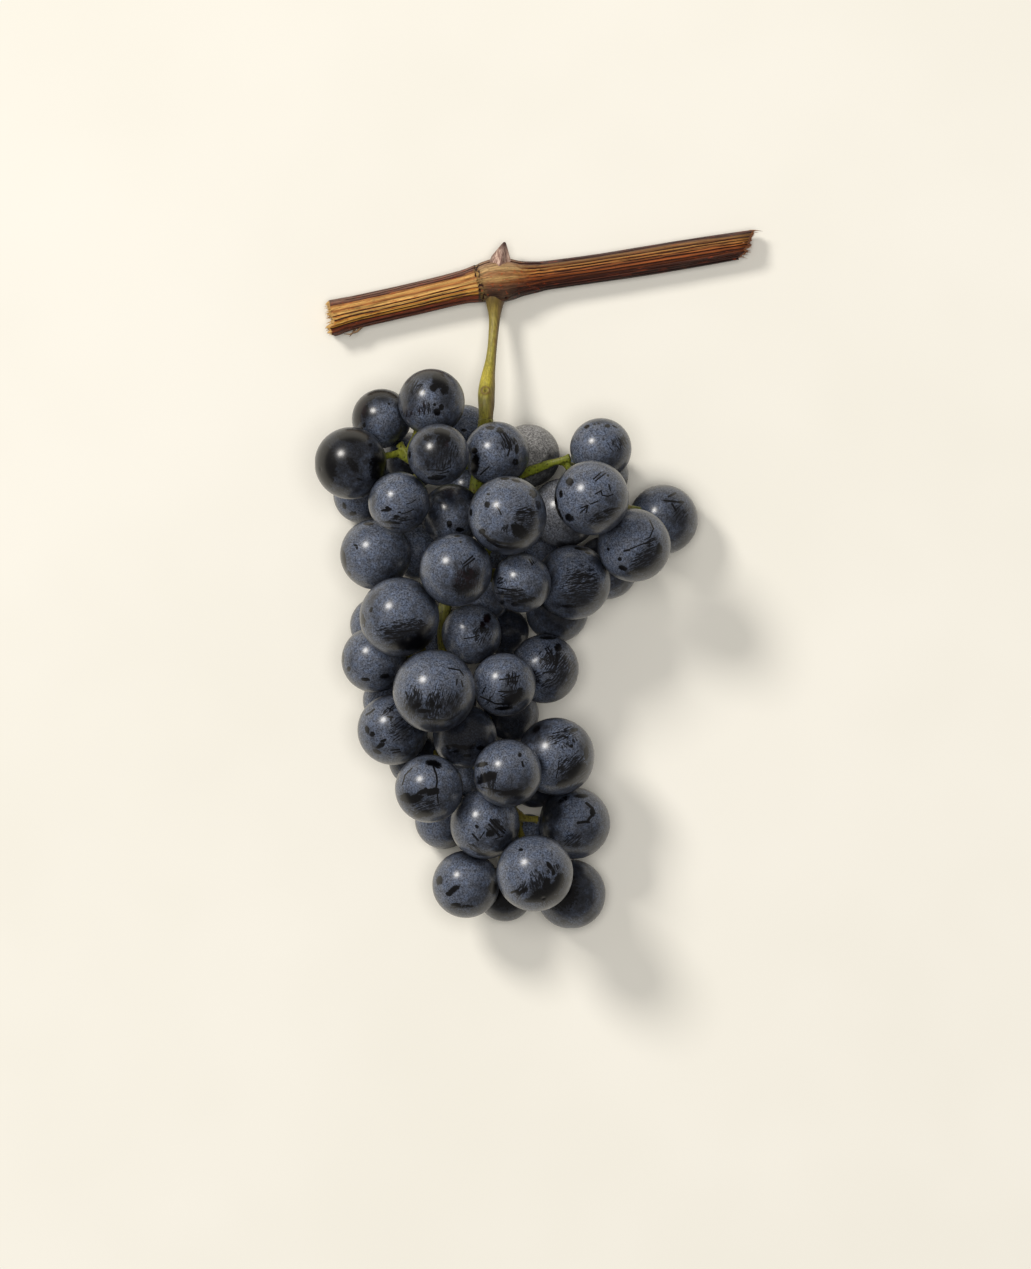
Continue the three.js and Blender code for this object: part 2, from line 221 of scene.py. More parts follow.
def cane_ridges(turn, x):
    """Height of the lengthwise ridges and grooves of the wood, in parts of the ridge height."""
    ring = Vector((math.cos(turn), math.sin(turn), 0))
    broad = noise.noise(ring * 2.6 + Vector((0, 0, x * 0.012)))
    fine = noise.noise(ring * 8.0 + Vector((5.0, 0, x * 0.03)))
    hair = noise.noise(ring * 19.0 + Vector((0, 9.0, x * 0.06)))
    return 0.8 * broad + 0.9 * fine + 0.5 * hair


def fine_grooves():
    """Seeded shallow grooves all round the cane, between the deep ones."""
    draw = random.Random(11)
    rows = []
    for _ in range(FINE_GROOVES):
        start = draw.uniform(-60, 45)
        length = draw.uniform(*FINE_GROOVE_LENGTHS)
        rows.append((draw.uniform(0.01, 0.99), draw.uniform(*FINE_GROOVE_MM), start, start + length))
    return rows


ALL_GROOVES = [(GROOVE_HALF_WIDTH, row) for row in GROOVES]
ALL_GROOVES += [(FINE_GROOVE_HALF_WIDTH, row) for row in fine_grooves()]


def groove_at(turn, x):
    """Depth of the grooves in millimetres: each wanders a little, fades and comes back."""
    share = turn / (2 * math.pi)
    depth = 0.0
    for number, (half_width, (place, full_depth, start, end)) in enumerate(ALL_GROOVES):
        if abs(share - place) > GROOVE_REACH or not start < x < end:
            continue
        wander = 0.007 * noise.noise(Vector((x * 0.09, number * 3.7, 0)))
        wander += 0.0025 * noise.noise(Vector((x * 0.5, number * 1.3, 5)))
        strength = smooth_step(-0.55, -0.05, noise.noise(Vector((x * 0.13, number * 5.1, 8))))
        strength *= smooth_step(0, GROOVE_FADE_MM, min(x - start, end - x))
        near = smooth_step(half_width, 0.3 * half_width, abs(share - place - wander))
        depth = max(depth, full_depth * strength * near)
    return depth


def cane_skin(place, turn):
    """A corner of the cane: the torn ends close over the first and last few rows."""
    near_end = min(place, 1 - place)
    torn = 1 - min(near_end / TORN_SHARE, 1.0)
    body = min(max((place - TORN_SHARE) / (1 - 2 * TORN_SHARE), 0.0), 1.0)
    middle, direction, sideways, up = stem_frame(CANE_LINE, body)
    radius = along_rows(CANE_LINE, body)[3]
    height = math.cos(turn)

    jag = 0.9 * noise.noise(Vector((math.cos(turn) * 3, math.sin(turn) * 3, 4.0)))
    jag += 0.5 * noise.noise(Vector((math.cos(turn) * 11, math.sin(turn) * 11, 2.0)))
    from_bark = middle.x - BARK_STEP_X - jag
    radius += BARK_STEP_MM * smooth_step(0.4, -0.1, from_bark) * (1 - 0.4 * torn)
    wrinkled = smooth_step(2.6, 0.2, from_bark) * smooth_step(-0.2, 0.1, from_bark)
    ring = Vector((math.cos(turn) * 5, math.sin(turn) * 5, middle.x * 1.6))
    wrinkle = noise.noise(ring) + 0.6 * noise.noise(ring * 2.3)
    radius += WRINKLE_MM * wrinkled * wrinkle
    swelling = smooth_step(6.0, 3.0, abs(middle.x - NODE_X))
    radius += RIDGE_MM * cane_ridges(turn, middle.x) * (1 - 0.45 * swelling)
    groove = groove_at(turn, middle.x) * (1 - min(torn * 4, 1.0))
    radius -= groove

    reach = 0.0
    if torn > 0:
        radius *= 1 - torn**2 if torn < 1 else 0.0
        fibre = noise.noise(Vector((math.cos(turn) * radius, math.sin(turn) * radius, place)) * 2.3)
        fringe = noise.noise(Vector((math.cos(turn) * 9, math.sin(turn) * 9, place)))
        open_face = smooth_step(0.0, 0.5, torn) if torn < 1 else 0.0
        left = place < 0.5
        tear = straight_between(LEFT_TEAR if left else RIGHT_TEAR, height * min(radius / 3.5, 1.0))
        reach = tear + open_face * (1.1 * fibre + 0.8 * fringe)
        reach = -reach if left else reach
    corner = middle + direction * reach + (sideways * height + up * math.sin(turn)) * radius
    from_scar = (corner - OLD_SCAR).length
    lump = math.exp(-((from_scar / OLD_SCAR_LUMP[0]) ** 2))
    pit = math.exp(-((from_scar / OLD_SCAR_PIT[0]) ** 2))
    scar_height = OLD_SCAR_LUMP[1] * lump - OLD_SCAR_PIT[1] * pit
    corner += (corner - middle).normalized() * scar_height
    corner.z = max(corner.z, 0.0)
    dark = max(min(groove / DEEPEST_GROOVE_MM, 1.0), wrinkled * smooth_step(0.05, -0.25, wrinkle), pit)
    broken = smooth_step(-0.3, 0.2, noise.noise(Vector((math.cos(turn) * 6, math.sin(turn) * 6, 7))))
    dark = max(dark, 0.5 * broken * smooth_step(0.3, 0.05, abs(from_bark - 0.12)))
    return corner, (dark, smooth_step(0.05, 0.35, torn), wrinkled, lump)


def paint(red, green, blue):
    """A colour given as it looks on screen, from 0 to 255, as the shader's linear colour."""
    return tuple((value / 255) ** 2.2 for value in (red, green, blue)) + (1.0,)


def shader_node(tree, kind, inputs=None, **settings):
    """A shader node with its settings, and its inputs set to values or joined to outputs."""
    made = tree.nodes.new(kind)
    for name, value in settings.items():
        setattr(made, name, value)
    for name, value in (inputs or {}).items():
        if isinstance(value, bpy.types.NodeSocket):
            tree.links.new(value, made.inputs[name])
        else:
            made.inputs[name].default_value = value
    return made


def cloudy_noise(tree, place, scale, detail=3.0, roughness=0.6):
    """A cloudy value over the surface, mostly between 0.3 and 0.7."""
    made = shader_node(
        tree, "ShaderNodeTexNoise",
        {"Vector": place, "Scale": scale, "Detail": detail, "Roughness": roughness},
    )
    return made.outputs["Fac"]


def mesh_value(tree, name):
    """A value that the mesh holds for each of its corners."""
    return shader_node(tree, "ShaderNodeAttribute", attribute_name=name).outputs["Fac"]


def blend_colours(tree, factor, first, second, mode="MIX"):
    """Two colours mixed by a value that changes over the surface."""
    mixed = shader_node(tree, "ShaderNodeMix", data_type="RGBA", blend_type=mode)
    for socket, value in ((0, factor), (6, first), (7, second)):
        if isinstance(value, bpy.types.NodeSocket):
            tree.links.new(value, mixed.inputs[socket])
        else:
            mixed.inputs[socket].default_value = value
    return mixed.outputs[2]


def reckon(tree, operation, first, second=0.0, third=0.0):
    """One sum on values that change over the surface."""
    inputs = {0: first, 1: second, 2: third}
    return shader_node(tree, "ShaderNodeMath", inputs, operation=operation).outputs[0]


def between_values(tree, value, low, high, start=0.0, end=1.0):
    """A value brought smoothly from one range to another."""
    ranged = shader_node(
        tree, "ShaderNodeMapRange", interpolation_type="SMOOTHSTEP",
        inputs={"Value": value, "From Min": low, "From Max": high, "To Min": start, "To Max": end},
    )
    return ranged.outputs[0]


def colour_bands(tree, value, stops):
    """A colour for each place of a value: rows of place and screen colour."""
    bands = shader_node(tree, "ShaderNodeValToRGB", {"Fac": value})
    elements = bands.color_ramp.elements
    while len(elements) < len(stops):
        elements.new(0.5)
    for element, (place, colour) in zip(elements, stops):
        element.position = place
        element.color = paint(*colour)
    return bands.outputs["Color"]


def relief_on(tree, skin, height, strength, distance):
    """Joins a bump of a small height to a shader's normal."""
    relief = shader_node(
        tree, "ShaderNodeBump", {"Height": height, "Strength": strength, "Distance": distance},
    )
    tree.links.new(relief.outputs["Normal"], skin.inputs["Normal"])


def new_finish(name):
    """A material with its node tree and its main shader."""
    material = bpy.data.materials.new(name)
    material.use_nodes = True
    return material, material.node_tree, material.node_tree.nodes["Principled BSDF"]


def drawn_out_grain_group():
    """Noise drawn out along one direction, as wood fibres, bark and scratches are."""
    tree = bpy.data.node_groups.new("drawn_out_grain", "ShaderNodeTree")
    for name, kind in (
        ("Place", "NodeSocketVector"),
        ("Stretch", "NodeSocketVector"),
        ("Scale", "NodeSocketFloat"),
        ("Detail", "NodeSocketFloat"),
    ):
        tree.interface.new_socket(name, in_out="INPUT", socket_type=kind)
    tree.interface.new_socket("Grain", in_out="OUTPUT", socket_type="NodeSocketFloat")
    given = tree.nodes.new("NodeGroupInput").outputs
    drawn = shader_node(
        tree, "ShaderNodeVectorMath", operation="MULTIPLY",
        inputs={0: given["Place"], 1: given["Stretch"]},
    )
    grain = cloudy_noise(tree, drawn.outputs[0], given["Scale"], given["Detail"])
    out = tree.nodes.new("NodeGroupOutput")
    tree.links.new(grain, out.inputs["Grain"])
    return tree


DRAWN_OUT_GRAIN = drawn_out_grain_group()


def grain_on(tree, place, stretch, scale, detail=3.0):
    """The grain at a place, finer across the directions that have a larger stretch."""
    group = shader_node(tree, "ShaderNodeGroup", node_tree=DRAWN_OUT_GRAIN)
    tree.links.new(place, group.inputs["Place"])
    for name, value in (("Stretch", stretch), ("Scale", scale), ("Detail", detail)):
        group.inputs[name].default_value = value
    return group.outputs["Grain"]


def streaks_on(tree, stem, along, around, detail=3.0):
    """Fine streaks along a stem with its own UV map: how many in its length and round it."""
    return grain_on(tree, stem, (along, around, 0.0), 1.0, detail)


# Colours round the cane, from its upper edge over the side that shows to its lower edge
# (half way round), then back underneath
LEFT_BANDS = [
    (0.00, (108, 85, 76)), (0.09, (122, 90, 75)), (0.12, (83, 43, 35)), (0.145, (166, 113, 62)),
    (0.165, (198, 154, 89)), (0.195, (141, 85, 43)), (0.225, (203, 162, 95)), (0.245, (168, 100, 43)),
    (0.262, (203, 162, 92)), (0.280, (92, 45, 21)), (0.292, (191, 127, 53)), (0.305, (201, 158, 83)),
    (0.320, (78, 38, 19)), (0.334, (178, 127, 53)), (0.350, (59, 28, 21)), (0.372, (124, 62, 37)),
    (0.40, (63, 35, 30)), (0.43, (106, 63, 49)), (0.46, (69, 49, 43)), (0.50, (99, 83, 72)),
    (0.60, (90, 68, 54)), (0.72, (137, 106, 70)), (0.80, (103, 69, 46)), (0.90, (95, 73, 62)),
    (1.00, (108, 85, 76)),
]
RIGHT_BANDS = [
    (0.00, (83, 70, 66)), (0.09, (81, 61, 56)), (0.125, (135, 99, 58)), (0.150, (75, 40, 25)),
    (0.170, (174, 127, 68)), (0.188, (83, 43, 24)), (0.206, (176, 120, 62)), (0.222, (73, 36, 21)),
    (0.238, (165, 99, 49)), (0.254, (64, 29, 18)), (0.272, (146, 82, 42)), (0.292, (50, 24, 17)),
    (0.315, (109, 60, 35)), (0.335, (41, 22, 18)), (0.360, (82, 45, 33)), (0.385, (31, 19, 17)),
    (0.41, (67, 42, 36)), (0.44, (35, 23, 22)), (0.47, (67, 55, 49)), (0.50, (75, 69, 64)),
    (0.60, (69, 54, 47)), (0.75, (113, 86, 60)), (0.88, (76, 58, 50)), (1.00, (83, 70, 66)),
]
NODE_BANDS = [
    (0.00, (124, 98, 82)), (0.10, (146, 114, 88)), (0.16, (168, 138, 94)), (0.20, (138, 94, 60)),
    (0.235, (158, 126, 80)), (0.27, (112, 72, 46)), (0.31, (86, 62, 48)), (0.36, (50, 36, 30)),
    (0.42, (68, 54, 47)), (0.50, (70, 62, 56)), (0.75, (108, 87, 64)), (1.00, (124, 98, 82)),
]


# Colours of the details on the bark, as they look on screen
WRINKLED_OLIVE = (122, 104, 62)
OLD_SCAR_BROWN = (80, 60, 44)
STREAK_RED = (160, 66, 30)
BLOTCH_BROWN = (92, 58, 44)
FLECK_BROWN = (64, 34, 24)
GROOVE_BROWN = (46, 22, 16)
TORN_PALE = (200, 160, 98)
TORN_BROWN = (140, 88, 60)


def cane_finish():
    """Dry striped bark: bands round the stem, dark grooves, flecks and a dull surface."""
    material, tree, skin = new_finish("cane_bark")
    stem = shader_node(tree, "ShaderNodeUVMap", uv_map="stem").outputs["UV"]
    where = shader_node(tree, "ShaderNodeTexCoord").outputs["Object"]
    place = shader_node(tree, "ShaderNodeSeparateXYZ", {0: where})
    around = shader_node(tree, "ShaderNodeSeparateXYZ", {0: stem}).outputs["Y"]

    shift = reckon(tree, "MULTIPLY_ADD", streaks_on(tree, stem, 14.0, 6.0), 0.04, -0.02)
    turn = reckon(tree, "ADD", around, shift)
    left = colour_bands(tree, turn, LEFT_BANDS)
    right = colour_bands(tree, turn, RIGHT_BANDS)
    node_colour = colour_bands(tree, turn, NODE_BANDS)
    ragged = reckon(tree, "MULTIPLY_ADD", streaks_on(tree, stem, 30.0, 24.0), 10 * MM, -5 * MM)
    x = reckon(tree, "ADD", place.outputs["X"], ragged)
    at_right = between_values(tree, x, -8.0 * MM, -2.0 * MM)
    past_bark = between_values(tree, place.outputs["X"], -15.3 * MM, -15.0 * MM)
    colour = blend_colours(tree, at_right, node_colour, right)
    colour = blend_colours(tree, past_bark, left, colour)
    wrinkled = reckon(tree, "MULTIPLY", mesh_value(tree, "wrinkled"), 0.6)
    colour = blend_colours(tree, wrinkled, colour, paint(*WRINKLED_OLIVE))
    old_scar = reckon(tree, "MULTIPLY", mesh_value(tree, "lump"), 0.75)
    colour = blend_colours(tree, old_scar, colour, paint(*OLD_SCAR_BROWN))

    fine = streaks_on(tree, stem, 26.0, 170.0, 4.0)
    broad = streaks_on(tree, stem, 9.0, 64.0, 2.0)
    for streaks, dark, light in ((fine, 0.68, 1.24), (broad, 0.74, 1.2)):
        tone = between_values(tree, streaks, 0.36, 0.62, dark, light)
        colour = blend_colours(tree, 1.0, colour, tone, "MULTIPLY")
    red = between_values(tree, streaks_on(tree, stem, 50.0, 46.0, 3.0), 0.58, 0.68, 0.0, 0.6)
    colour = blend_colours(tree, red, colour, paint(*STREAK_RED))
    blotches = between_values(tree, cloudy_noise(tree, where, 420.0), 0.58, 0.70, 0.0, 0.3)
    colour = blend_colours(tree, blotches, colour, paint(*BLOTCH_BROWN))
    flecks = between_values(tree, cloudy_noise(tree, where, 1800.0), 0.64, 0.72, 0.0, 0.5)
    colour = blend_colours(tree, flecks, colour, paint(*FLECK_BROWN))
    right_half = between_values(tree, place.outputs["X"], -10 * MM, 10 * MM)
    torn_colour = blend_colours(tree, right_half, paint(*TORN_PALE), paint(*TORN_BROWN))
    colour = blend_colours(tree, mesh_value(tree, "torn"), colour, torn_colour)
    ragged_edge = reckon(tree, "MULTIPLY_ADD", fine, 0.8, -0.4)
    grooved = reckon(tree, "ADD", mesh_value(tree, "groove"), ragged_edge)
    grooved = between_values(tree, grooved, 0.3, 0.75)
    colour = blend_colours(tree, grooved, colour, paint(*GROOVE_BROWN))
    tree.links.new(colour, skin.inputs["Base Color"])
    relief_on(tree, skin, fine, 0.55, 0.25 * MM)
    tree.links.new(between_values(tree, fine, 0.3, 0.7, 0.74, 0.52), skin.inputs["Roughness"])
    skin.inputs["Specular IOR Level"].default_value = 0.35
    return material


cane_bark = cane_finish()
cane_mesh = rolled_stem(
    CANE_STEPS, CANE_AROUND, cane_skin, ("groove", "torn", "wrinkled", "lump"),
)
as_piece("cane_wood", cane_mesh, cane_bark, "cane")

# Torn fibres: where the cane was broken off, bundles of wood fibre and shreds of bark stand
# out past both ends. They are the cane's own wood, splintered, paler than its bark.

FIBRE_SIDES = 5
LEFT_FIBRES = 90
RIGHT_FIBRES = 90
LEFT_FIBRE_LENGTHS = (0.8, 2.2)
RIGHT_FIBRE_LENGTHS = (0.8, 2.8)
FIBRE_THICKNESSES = (0.1, 0.24)
FIBRE_ROOT_MM = 0.5
FIBRE_TAPER = 0.85

# Pale and dark tone of each kind of broken wood
LEFT_WOOD = ((224, 190, 128), (130, 84, 48))
SHRED_BARK = ((150, 120, 84), (86, 66, 58))
RIGHT_WOOD = ((168, 118, 78), (92, 62, 54))

# Splinters that stand out on their own: their points in millimetres and their thickness
LEFT_SPLINTERS = [
    ([(-49.8, 66.6, 5.0), (-51.6, 66.3, 5.3), (-53.2, 65.8, 5.6)], 0.35),
    ([(-49.6, 65.4, 5.2), (-51.6, 64.6, 5.6), (-53.3, 64.0, 5.4)], 0.4),
    ([(-49.9, 63.9, 5.0), (-51.4, 63.1, 5.0), (-52.8, 62.3, 4.8)], 0.35),
    ([(-50.0, 68.4, 4.6), (-51.2, 68.6, 4.9), (-52.1, 68.8, 5.0)], 0.3),
    ([(-49.4, 62.8, 4.8), (-50.9, 62.0, 4.6), (-51.9, 61.6, 4.2)], 0.3),
]
BARK_SHREDS = [
    ([(-44.2, 63.4, 5.0), (-45.6, 62.0, 5.6), (-47.4, 61.3, 5.8), (-48.9, 61.4, 5.4)], 0.42),
    ([(-45.8, 63.0, 4.6), (-46.8, 61.5, 4.9), (-47.5, 60.7, 4.6)], 0.34),
    ([(-47.6, 62.6, 4.8), (-48.8, 61.9, 5.0), (-50.0, 61.9, 4.8)], 0.3),
]
RIGHT_SPLINTERS = [
    ([(51.0, 86.4, 4.6), (52.9, 87.2, 4.9), (54.0, 87.6, 4.8)], 0.5),
    ([(52.4, 86.9, 5.0), (54.6, 87.3, 5.3), (56.1, 87.1, 5.2)], 0.16),
    ([(52.6, 86.5, 4.8), (54.0, 86.8, 4.6), (55.0, 86.9, 4.2)], 0.14),
    ([(51.0, 84.9, 5.8), (52.2, 85.1, 6.2), (52.6, 85.2, 6.2)], 0.36),
    ([(50.2, 83.4, 6.0), (51.2, 83.0, 6.4), (51.6, 82.9, 6.4)], 0.34),
    ([(50.2, 82.4, 5.8), (51.6, 82.3, 6.0), (52.2, 82.2, 5.8)], 0.28),
    ([(49.4, 81.0, 5.2), (50.2, 80.8, 5.4), (50.6, 80.7, 5.2)], 0.26),
]


def add_strand(mesh, points, thickness):
    """A tapering strand of fibre through the points: rings of corners bridged to each other."""
    rings = []
    for number, point in enumerate(points):
        before = Vector(points[max(number - 1, 0)])
        after = Vector(points[min(number + 1, len(points) - 1)])
        facing = (after - before).to_track_quat("Z", "Y").to_matrix().to_4x4()
        taper = 1 - FIBRE_TAPER * number / (len(points) - 1)
        placing = Matrix.Translation(inside_box(Vector(point)) * MM) @ facing
        made = bmesh.ops.create_circle(
            mesh, cap_ends=number in (0, len(points) - 1), segments=FIBRE_SIDES,
            radius=thickness * taper * MM, matrix=placing,
        )
        edges = {edge for corner in made["verts"] for edge in corner.link_edges}
        rings.append([edge for edge in edges if all(end in made["verts"] for end in edge.verts)])
    for first, second in zip(rings, rings[1:]):
        rim = [edge for edge in first + second if len(edge.link_faces) < 2]
        bmesh.ops.bridge_loops(mesh, edges=rim)


def torn_fibres(mesh, end, count, lengths, seed):
    """A seeded ring of short fibres standing out of one torn end of the cane."""
    draw = random.Random(seed)
    middle, direction, sideways, up = stem_frame(CANE_LINE, end)
    radius = along_rows(CANE_LINE, end)[3]
    outward = direction if end > 0.5 else -direction
    tears = RIGHT_TEAR if end > 0.5 else LEFT_TEAR
    for _ in range(count):
        turn = draw.uniform(0, 2 * math.pi)
        share = math.sqrt(draw.uniform(0.1, 0.9))
        side = sideways * math.cos(turn) + up * math.sin(turn)
        start = middle + side * radius * share
        tear = straight_between(tears, math.cos(turn) * share)
        start += outward * (tear * 0.75 - FIBRE_ROOT_MM)
        spread = side * draw.uniform(-0.1, 0.35) + up * draw.uniform(-0.25, 0.25)
        length = draw.uniform(*lengths)
        bend = side * draw.uniform(-0.15, 0.15)
        points = [
            start,
            start + (outward + spread * 0.5) * length * 0.5 + bend * 0.5,
            start + (outward + spread) * length + bend,
        ]
        add_strand(mesh, points, draw.uniform(*FIBRE_THICKNESSES))


def fibre_piece(name, mesh, splinters, finish):
    """A finished piece of broken wood: the fibres of a mesh and splinters, within the part's size."""
    for points, thickness in splinters:
        add_strand(mesh, points, thickness)
    for corner in mesh.verts:
        corner.co = inside_box(corner.co / MM) * MM
    bmesh.ops.recalc_face_normals(mesh, faces=mesh.faces)
    as_piece(name, mesh, finish, "cane")


def torn_wood_finish(name, light, dark):
    """Broken wood: streaked along its fibres between a pale and a dark tone, quite dull."""
    material, tree, skin = new_finish(name)
    where = shader_node(tree, "ShaderNodeTexCoord").outputs["Object"]
    streaks = grain_on(tree, where, (0.2, 1.0, 1.0), 2400.0)
    streaked = between_values(tree, streaks, 0.35, 0.65)
    colour = blend_colours(tree, streaked, paint(*light), paint(*dark))
    tree.links.new(colour, skin.inputs["Base Color"])
    relief_on(tree, skin, streaks, 0.4, 0.1 * MM)
    tree.links.new(between_values(tree, streaks, 0.3, 0.7, 0.8, 0.6), skin.inputs["Roughness"])
    return material


left_tear = bmesh.new()
torn_fibres(left_tear, 0.0, LEFT_FIBRES, LEFT_FIBRE_LENGTHS, 5)
pale_wood = torn_wood_finish("torn_wood_pale", *LEFT_WOOD)
fibre_piece("cane_left_fibres", left_tear, LEFT_SPLINTERS, pale_wood)

shred_bark = torn_wood_finish("torn_bark", *SHRED_BARK)
fibre_piece("cane_bark_shreds", bmesh.new(), BARK_SHREDS, shred_bark)

right_tear = bmesh.new()
torn_fibres(right_tear, 1.0, RIGHT_FIBRES, RIGHT_FIBRE_LENGTHS, 8)
dark_wood = torn_wood_finish("torn_wood_dark", *RIGHT_WOOD)
fibre_piece("cane_right_fibres", right_tear, RIGHT_SPLINTERS, dark_wood)

# Bud: a small pointed winter bud on the upper edge of the node, wrapped in dry scales that
# are pinkish grey with dark edges. It grew out of the cane, above a ring-shaped scar.

BUD_ROOT = Vector((-9.9, 78.2, 6.4))
BUD_TIP = Vector((-8.6, 84.4, 7.0))
BUD_RADIUS = 3.3
BUD_TIP_RADIUS = 0.4
BUD_SIDES = 5
BUD_EDGE_MM = 0.3
BUD_SWELL = 0.2
BUD_WOBBLE = 0.1

BUD_PINK = (206, 176, 158)
BUD_GREY = (134, 102, 90)
BUD_EDGE_BROWN = (58, 38, 34)

# Each scale: where it starts along the bud, its size, and how far it is turned
BUD_SCALES = [(0.0, 1.0, 0.0), (0.1, 0.8, 1.7), (0.24, 0.6, 3.4)]


def bud_mesh():
    """Scales one inside the other: blunt five-sided cones, bevelled, each a bit further out."""
    bud = bmesh.new()
    edge_layer = bud.verts.layers.float.new("scale_edge")
    along = BUD_TIP - BUD_ROOT
    for start, size, turn in BUD_SCALES:
        length = along.length * (1 - start)
        facing = along.to_track_quat("Z", "Y").to_matrix().to_4x4()
        centre = BUD_ROOT + along * (start + (1 - start) / 2)
        placing = Matrix.Translation(centre * MM) @ facing @ Matrix.Rotation(turn, 4, "Z")
        made = bmesh.ops.create_cone(
            bud, cap_ends=True, segments=BUD_SIDES, radius1=BUD_RADIUS * size * MM,
            radius2=BUD_TIP_RADIUS * size * MM, depth=length * MM, matrix=placing,
        )
        edges = list({edge for corner in made["verts"] for edge in corner.link_edges})
        bmesh.ops.bevel(
            bud, geom=edges, offset=BUD_EDGE_MM * MM, segments=2, profile=0.5, affect="EDGES",
            material=-1,
        )
    bmesh.ops.subdivide_edges(bud, edges=bud.edges[:], cuts=2, use_grid_fill=True)
    for corner in bud.verts:
        share = (corner.co / MM - BUD_ROOT).dot(along) / along.length_squared
        side = corner.co / MM - BUD_ROOT - along * share
        swell = 1 + BUD_SWELL * math.sin(math.pi * min(max(share, 0.0), 1.0))
        wobble = 1 + BUD_WOBBLE * noise.noise(corner.co * 700)
        placed = BUD_ROOT + along * share + side * swell * wobble
        corner.co = inside_box(placed) * MM
        corner[edge_layer] = smooth_step(0.1, 0.3, noise.noise(corner.co * 500)) * 0.6
        corner[edge_layer] = max(corner[edge_layer], smooth_step(0.5, 0.95, share))
    bmesh.ops.recalc_face_normals(bud, faces=bud.faces)
    return bud


def bud_finish():
    """Dry scales, pinkish grey, streaked, darker at their tips and edges."""
    material, tree, skin = new_finish("bud_scales")
    where = shader_node(tree, "ShaderNodeTexCoord").outputs["Object"]
    streaks = grain_on(tree, where, (1.0, 0.25, 1.0), 1900.0)
    streaked = between_values(tree, streaks, 0.38, 0.62)
    colour = blend_colours(tree, streaked, paint(*BUD_PINK), paint(*BUD_GREY))
    colour = blend_colours(tree, mesh_value(tree, "scale_edge"), colour, paint(*BUD_EDGE_BROWN))
    tree.links.new(colour, skin.inputs["Base Color"])
    relief_on(tree, skin, streaks, 0.5, 0.15 * MM)
    tree.links.new(between_values(tree, streaks, 0.3, 0.7, 0.7, 0.55), skin.inputs["Roughness"])
    return material


as_piece("cane_bud", bud_mesh(), bud_finish(), "cane")

# Stalk: all the green stem of the bunch, which grew as one piece. The peduncle leaves the
# node with a flared collar, thins, then swells round a healed scar before it goes in among
# the berries. Inside, the rachis and its side branches end in a warty pedicel for each berry.

# Middle of the peduncle from the cane downwards, and its radius there, in millimetres
PEDUNCLE_LINE = [
    (-11.0, 71.3, 6.4, 2.5),
    (-11.0, 70.2, 6.5, 2.5),
    (-11.1, 68.6, 6.7, 2.1),
    (-11.1, 66.6, 7.1, 1.6),
    (-11.2, 64.4, 7.7, 1.33),
    (-11.5, 60.5, 9.2, 1.2),
    (-11.8, 57.2, 10.5, 1.2),
    (-12.2, 54.0, 11.6, 1.38),
    (-12.7, 51.0, 12.8, 1.7),
    (-13.0, 48.6, 13.7, 1.98),
    (-13.2, 46.2, 14.5, 2.08),
    (-13.2, 43.7, 15.3, 2.0),
    (-13.3, 41.0, 16.0, 1.8),
    (-13.3, 38.4, 16.6, 1.7),
]
PEDUNCLE_STEPS = 190
PEDUNCLE_AROUND = 80
PEDUNCLE_RIB_MM = 0.05
PEDUNCLE_UNEVEN_MM = 0.06
PEDUNCLE_SCAR = Vector((-13.4, 47.1, 16.1))

# Ring of the scar: its distance from the middle, its width and its height, in millimetres.
# Pit in its middle: its width and its depth.
PEDUNCLE_SCAR_RING = (0.95, 0.3, 0.2)
PEDUNCLE_SCAR_PIT = (0.42, 0.4)

PEDUNCLE_MEETS_RACHIS = 40.0
RACHIS_VOXEL = 0.3 * MM
CAD_WELD_MM = 0.001
RACHIS_FULLNESS_MM = 0.12
WART_MM = 0.09

# Colours along the whole stalk, from its lowest pedicel (0) to the cane (1)
# Below 0.5 the rachis among the berries is darker olive: partly its own colour, partly painted shade
# between the berries
STALK_BANDS = [
    (0.00, (88, 82, 36)), (0.45, (80, 82, 34)), (0.60, (104, 112, 38)), (0.72, (112, 106, 42)),
    (0.755, (104, 98, 44)), (0.785, (150, 140, 52)), (0.81, (172, 158, 58)), (0.85, (146, 136, 60)),
    (0.90, (144, 132, 64)), (0.94, (136, 122, 58)), (0.97, (112, 96, 46)), (1.00, (84, 64, 42)),
]

# Length of the stalk, and where y = 0 lies along it
STALK_LENGTH = 110 * MM
STALK_MIDDLE = 0.35

RIGHT_EDGE_BROWN = (96, 72, 60)
WART_BROWN = (44, 38, 18)
STALK_BLOTCH_BROWN = (104, 70, 38)
SCAR_RIM_BROWN = (96, 72, 40)
SCAR_PIT_BROWN = (50, 36, 26)


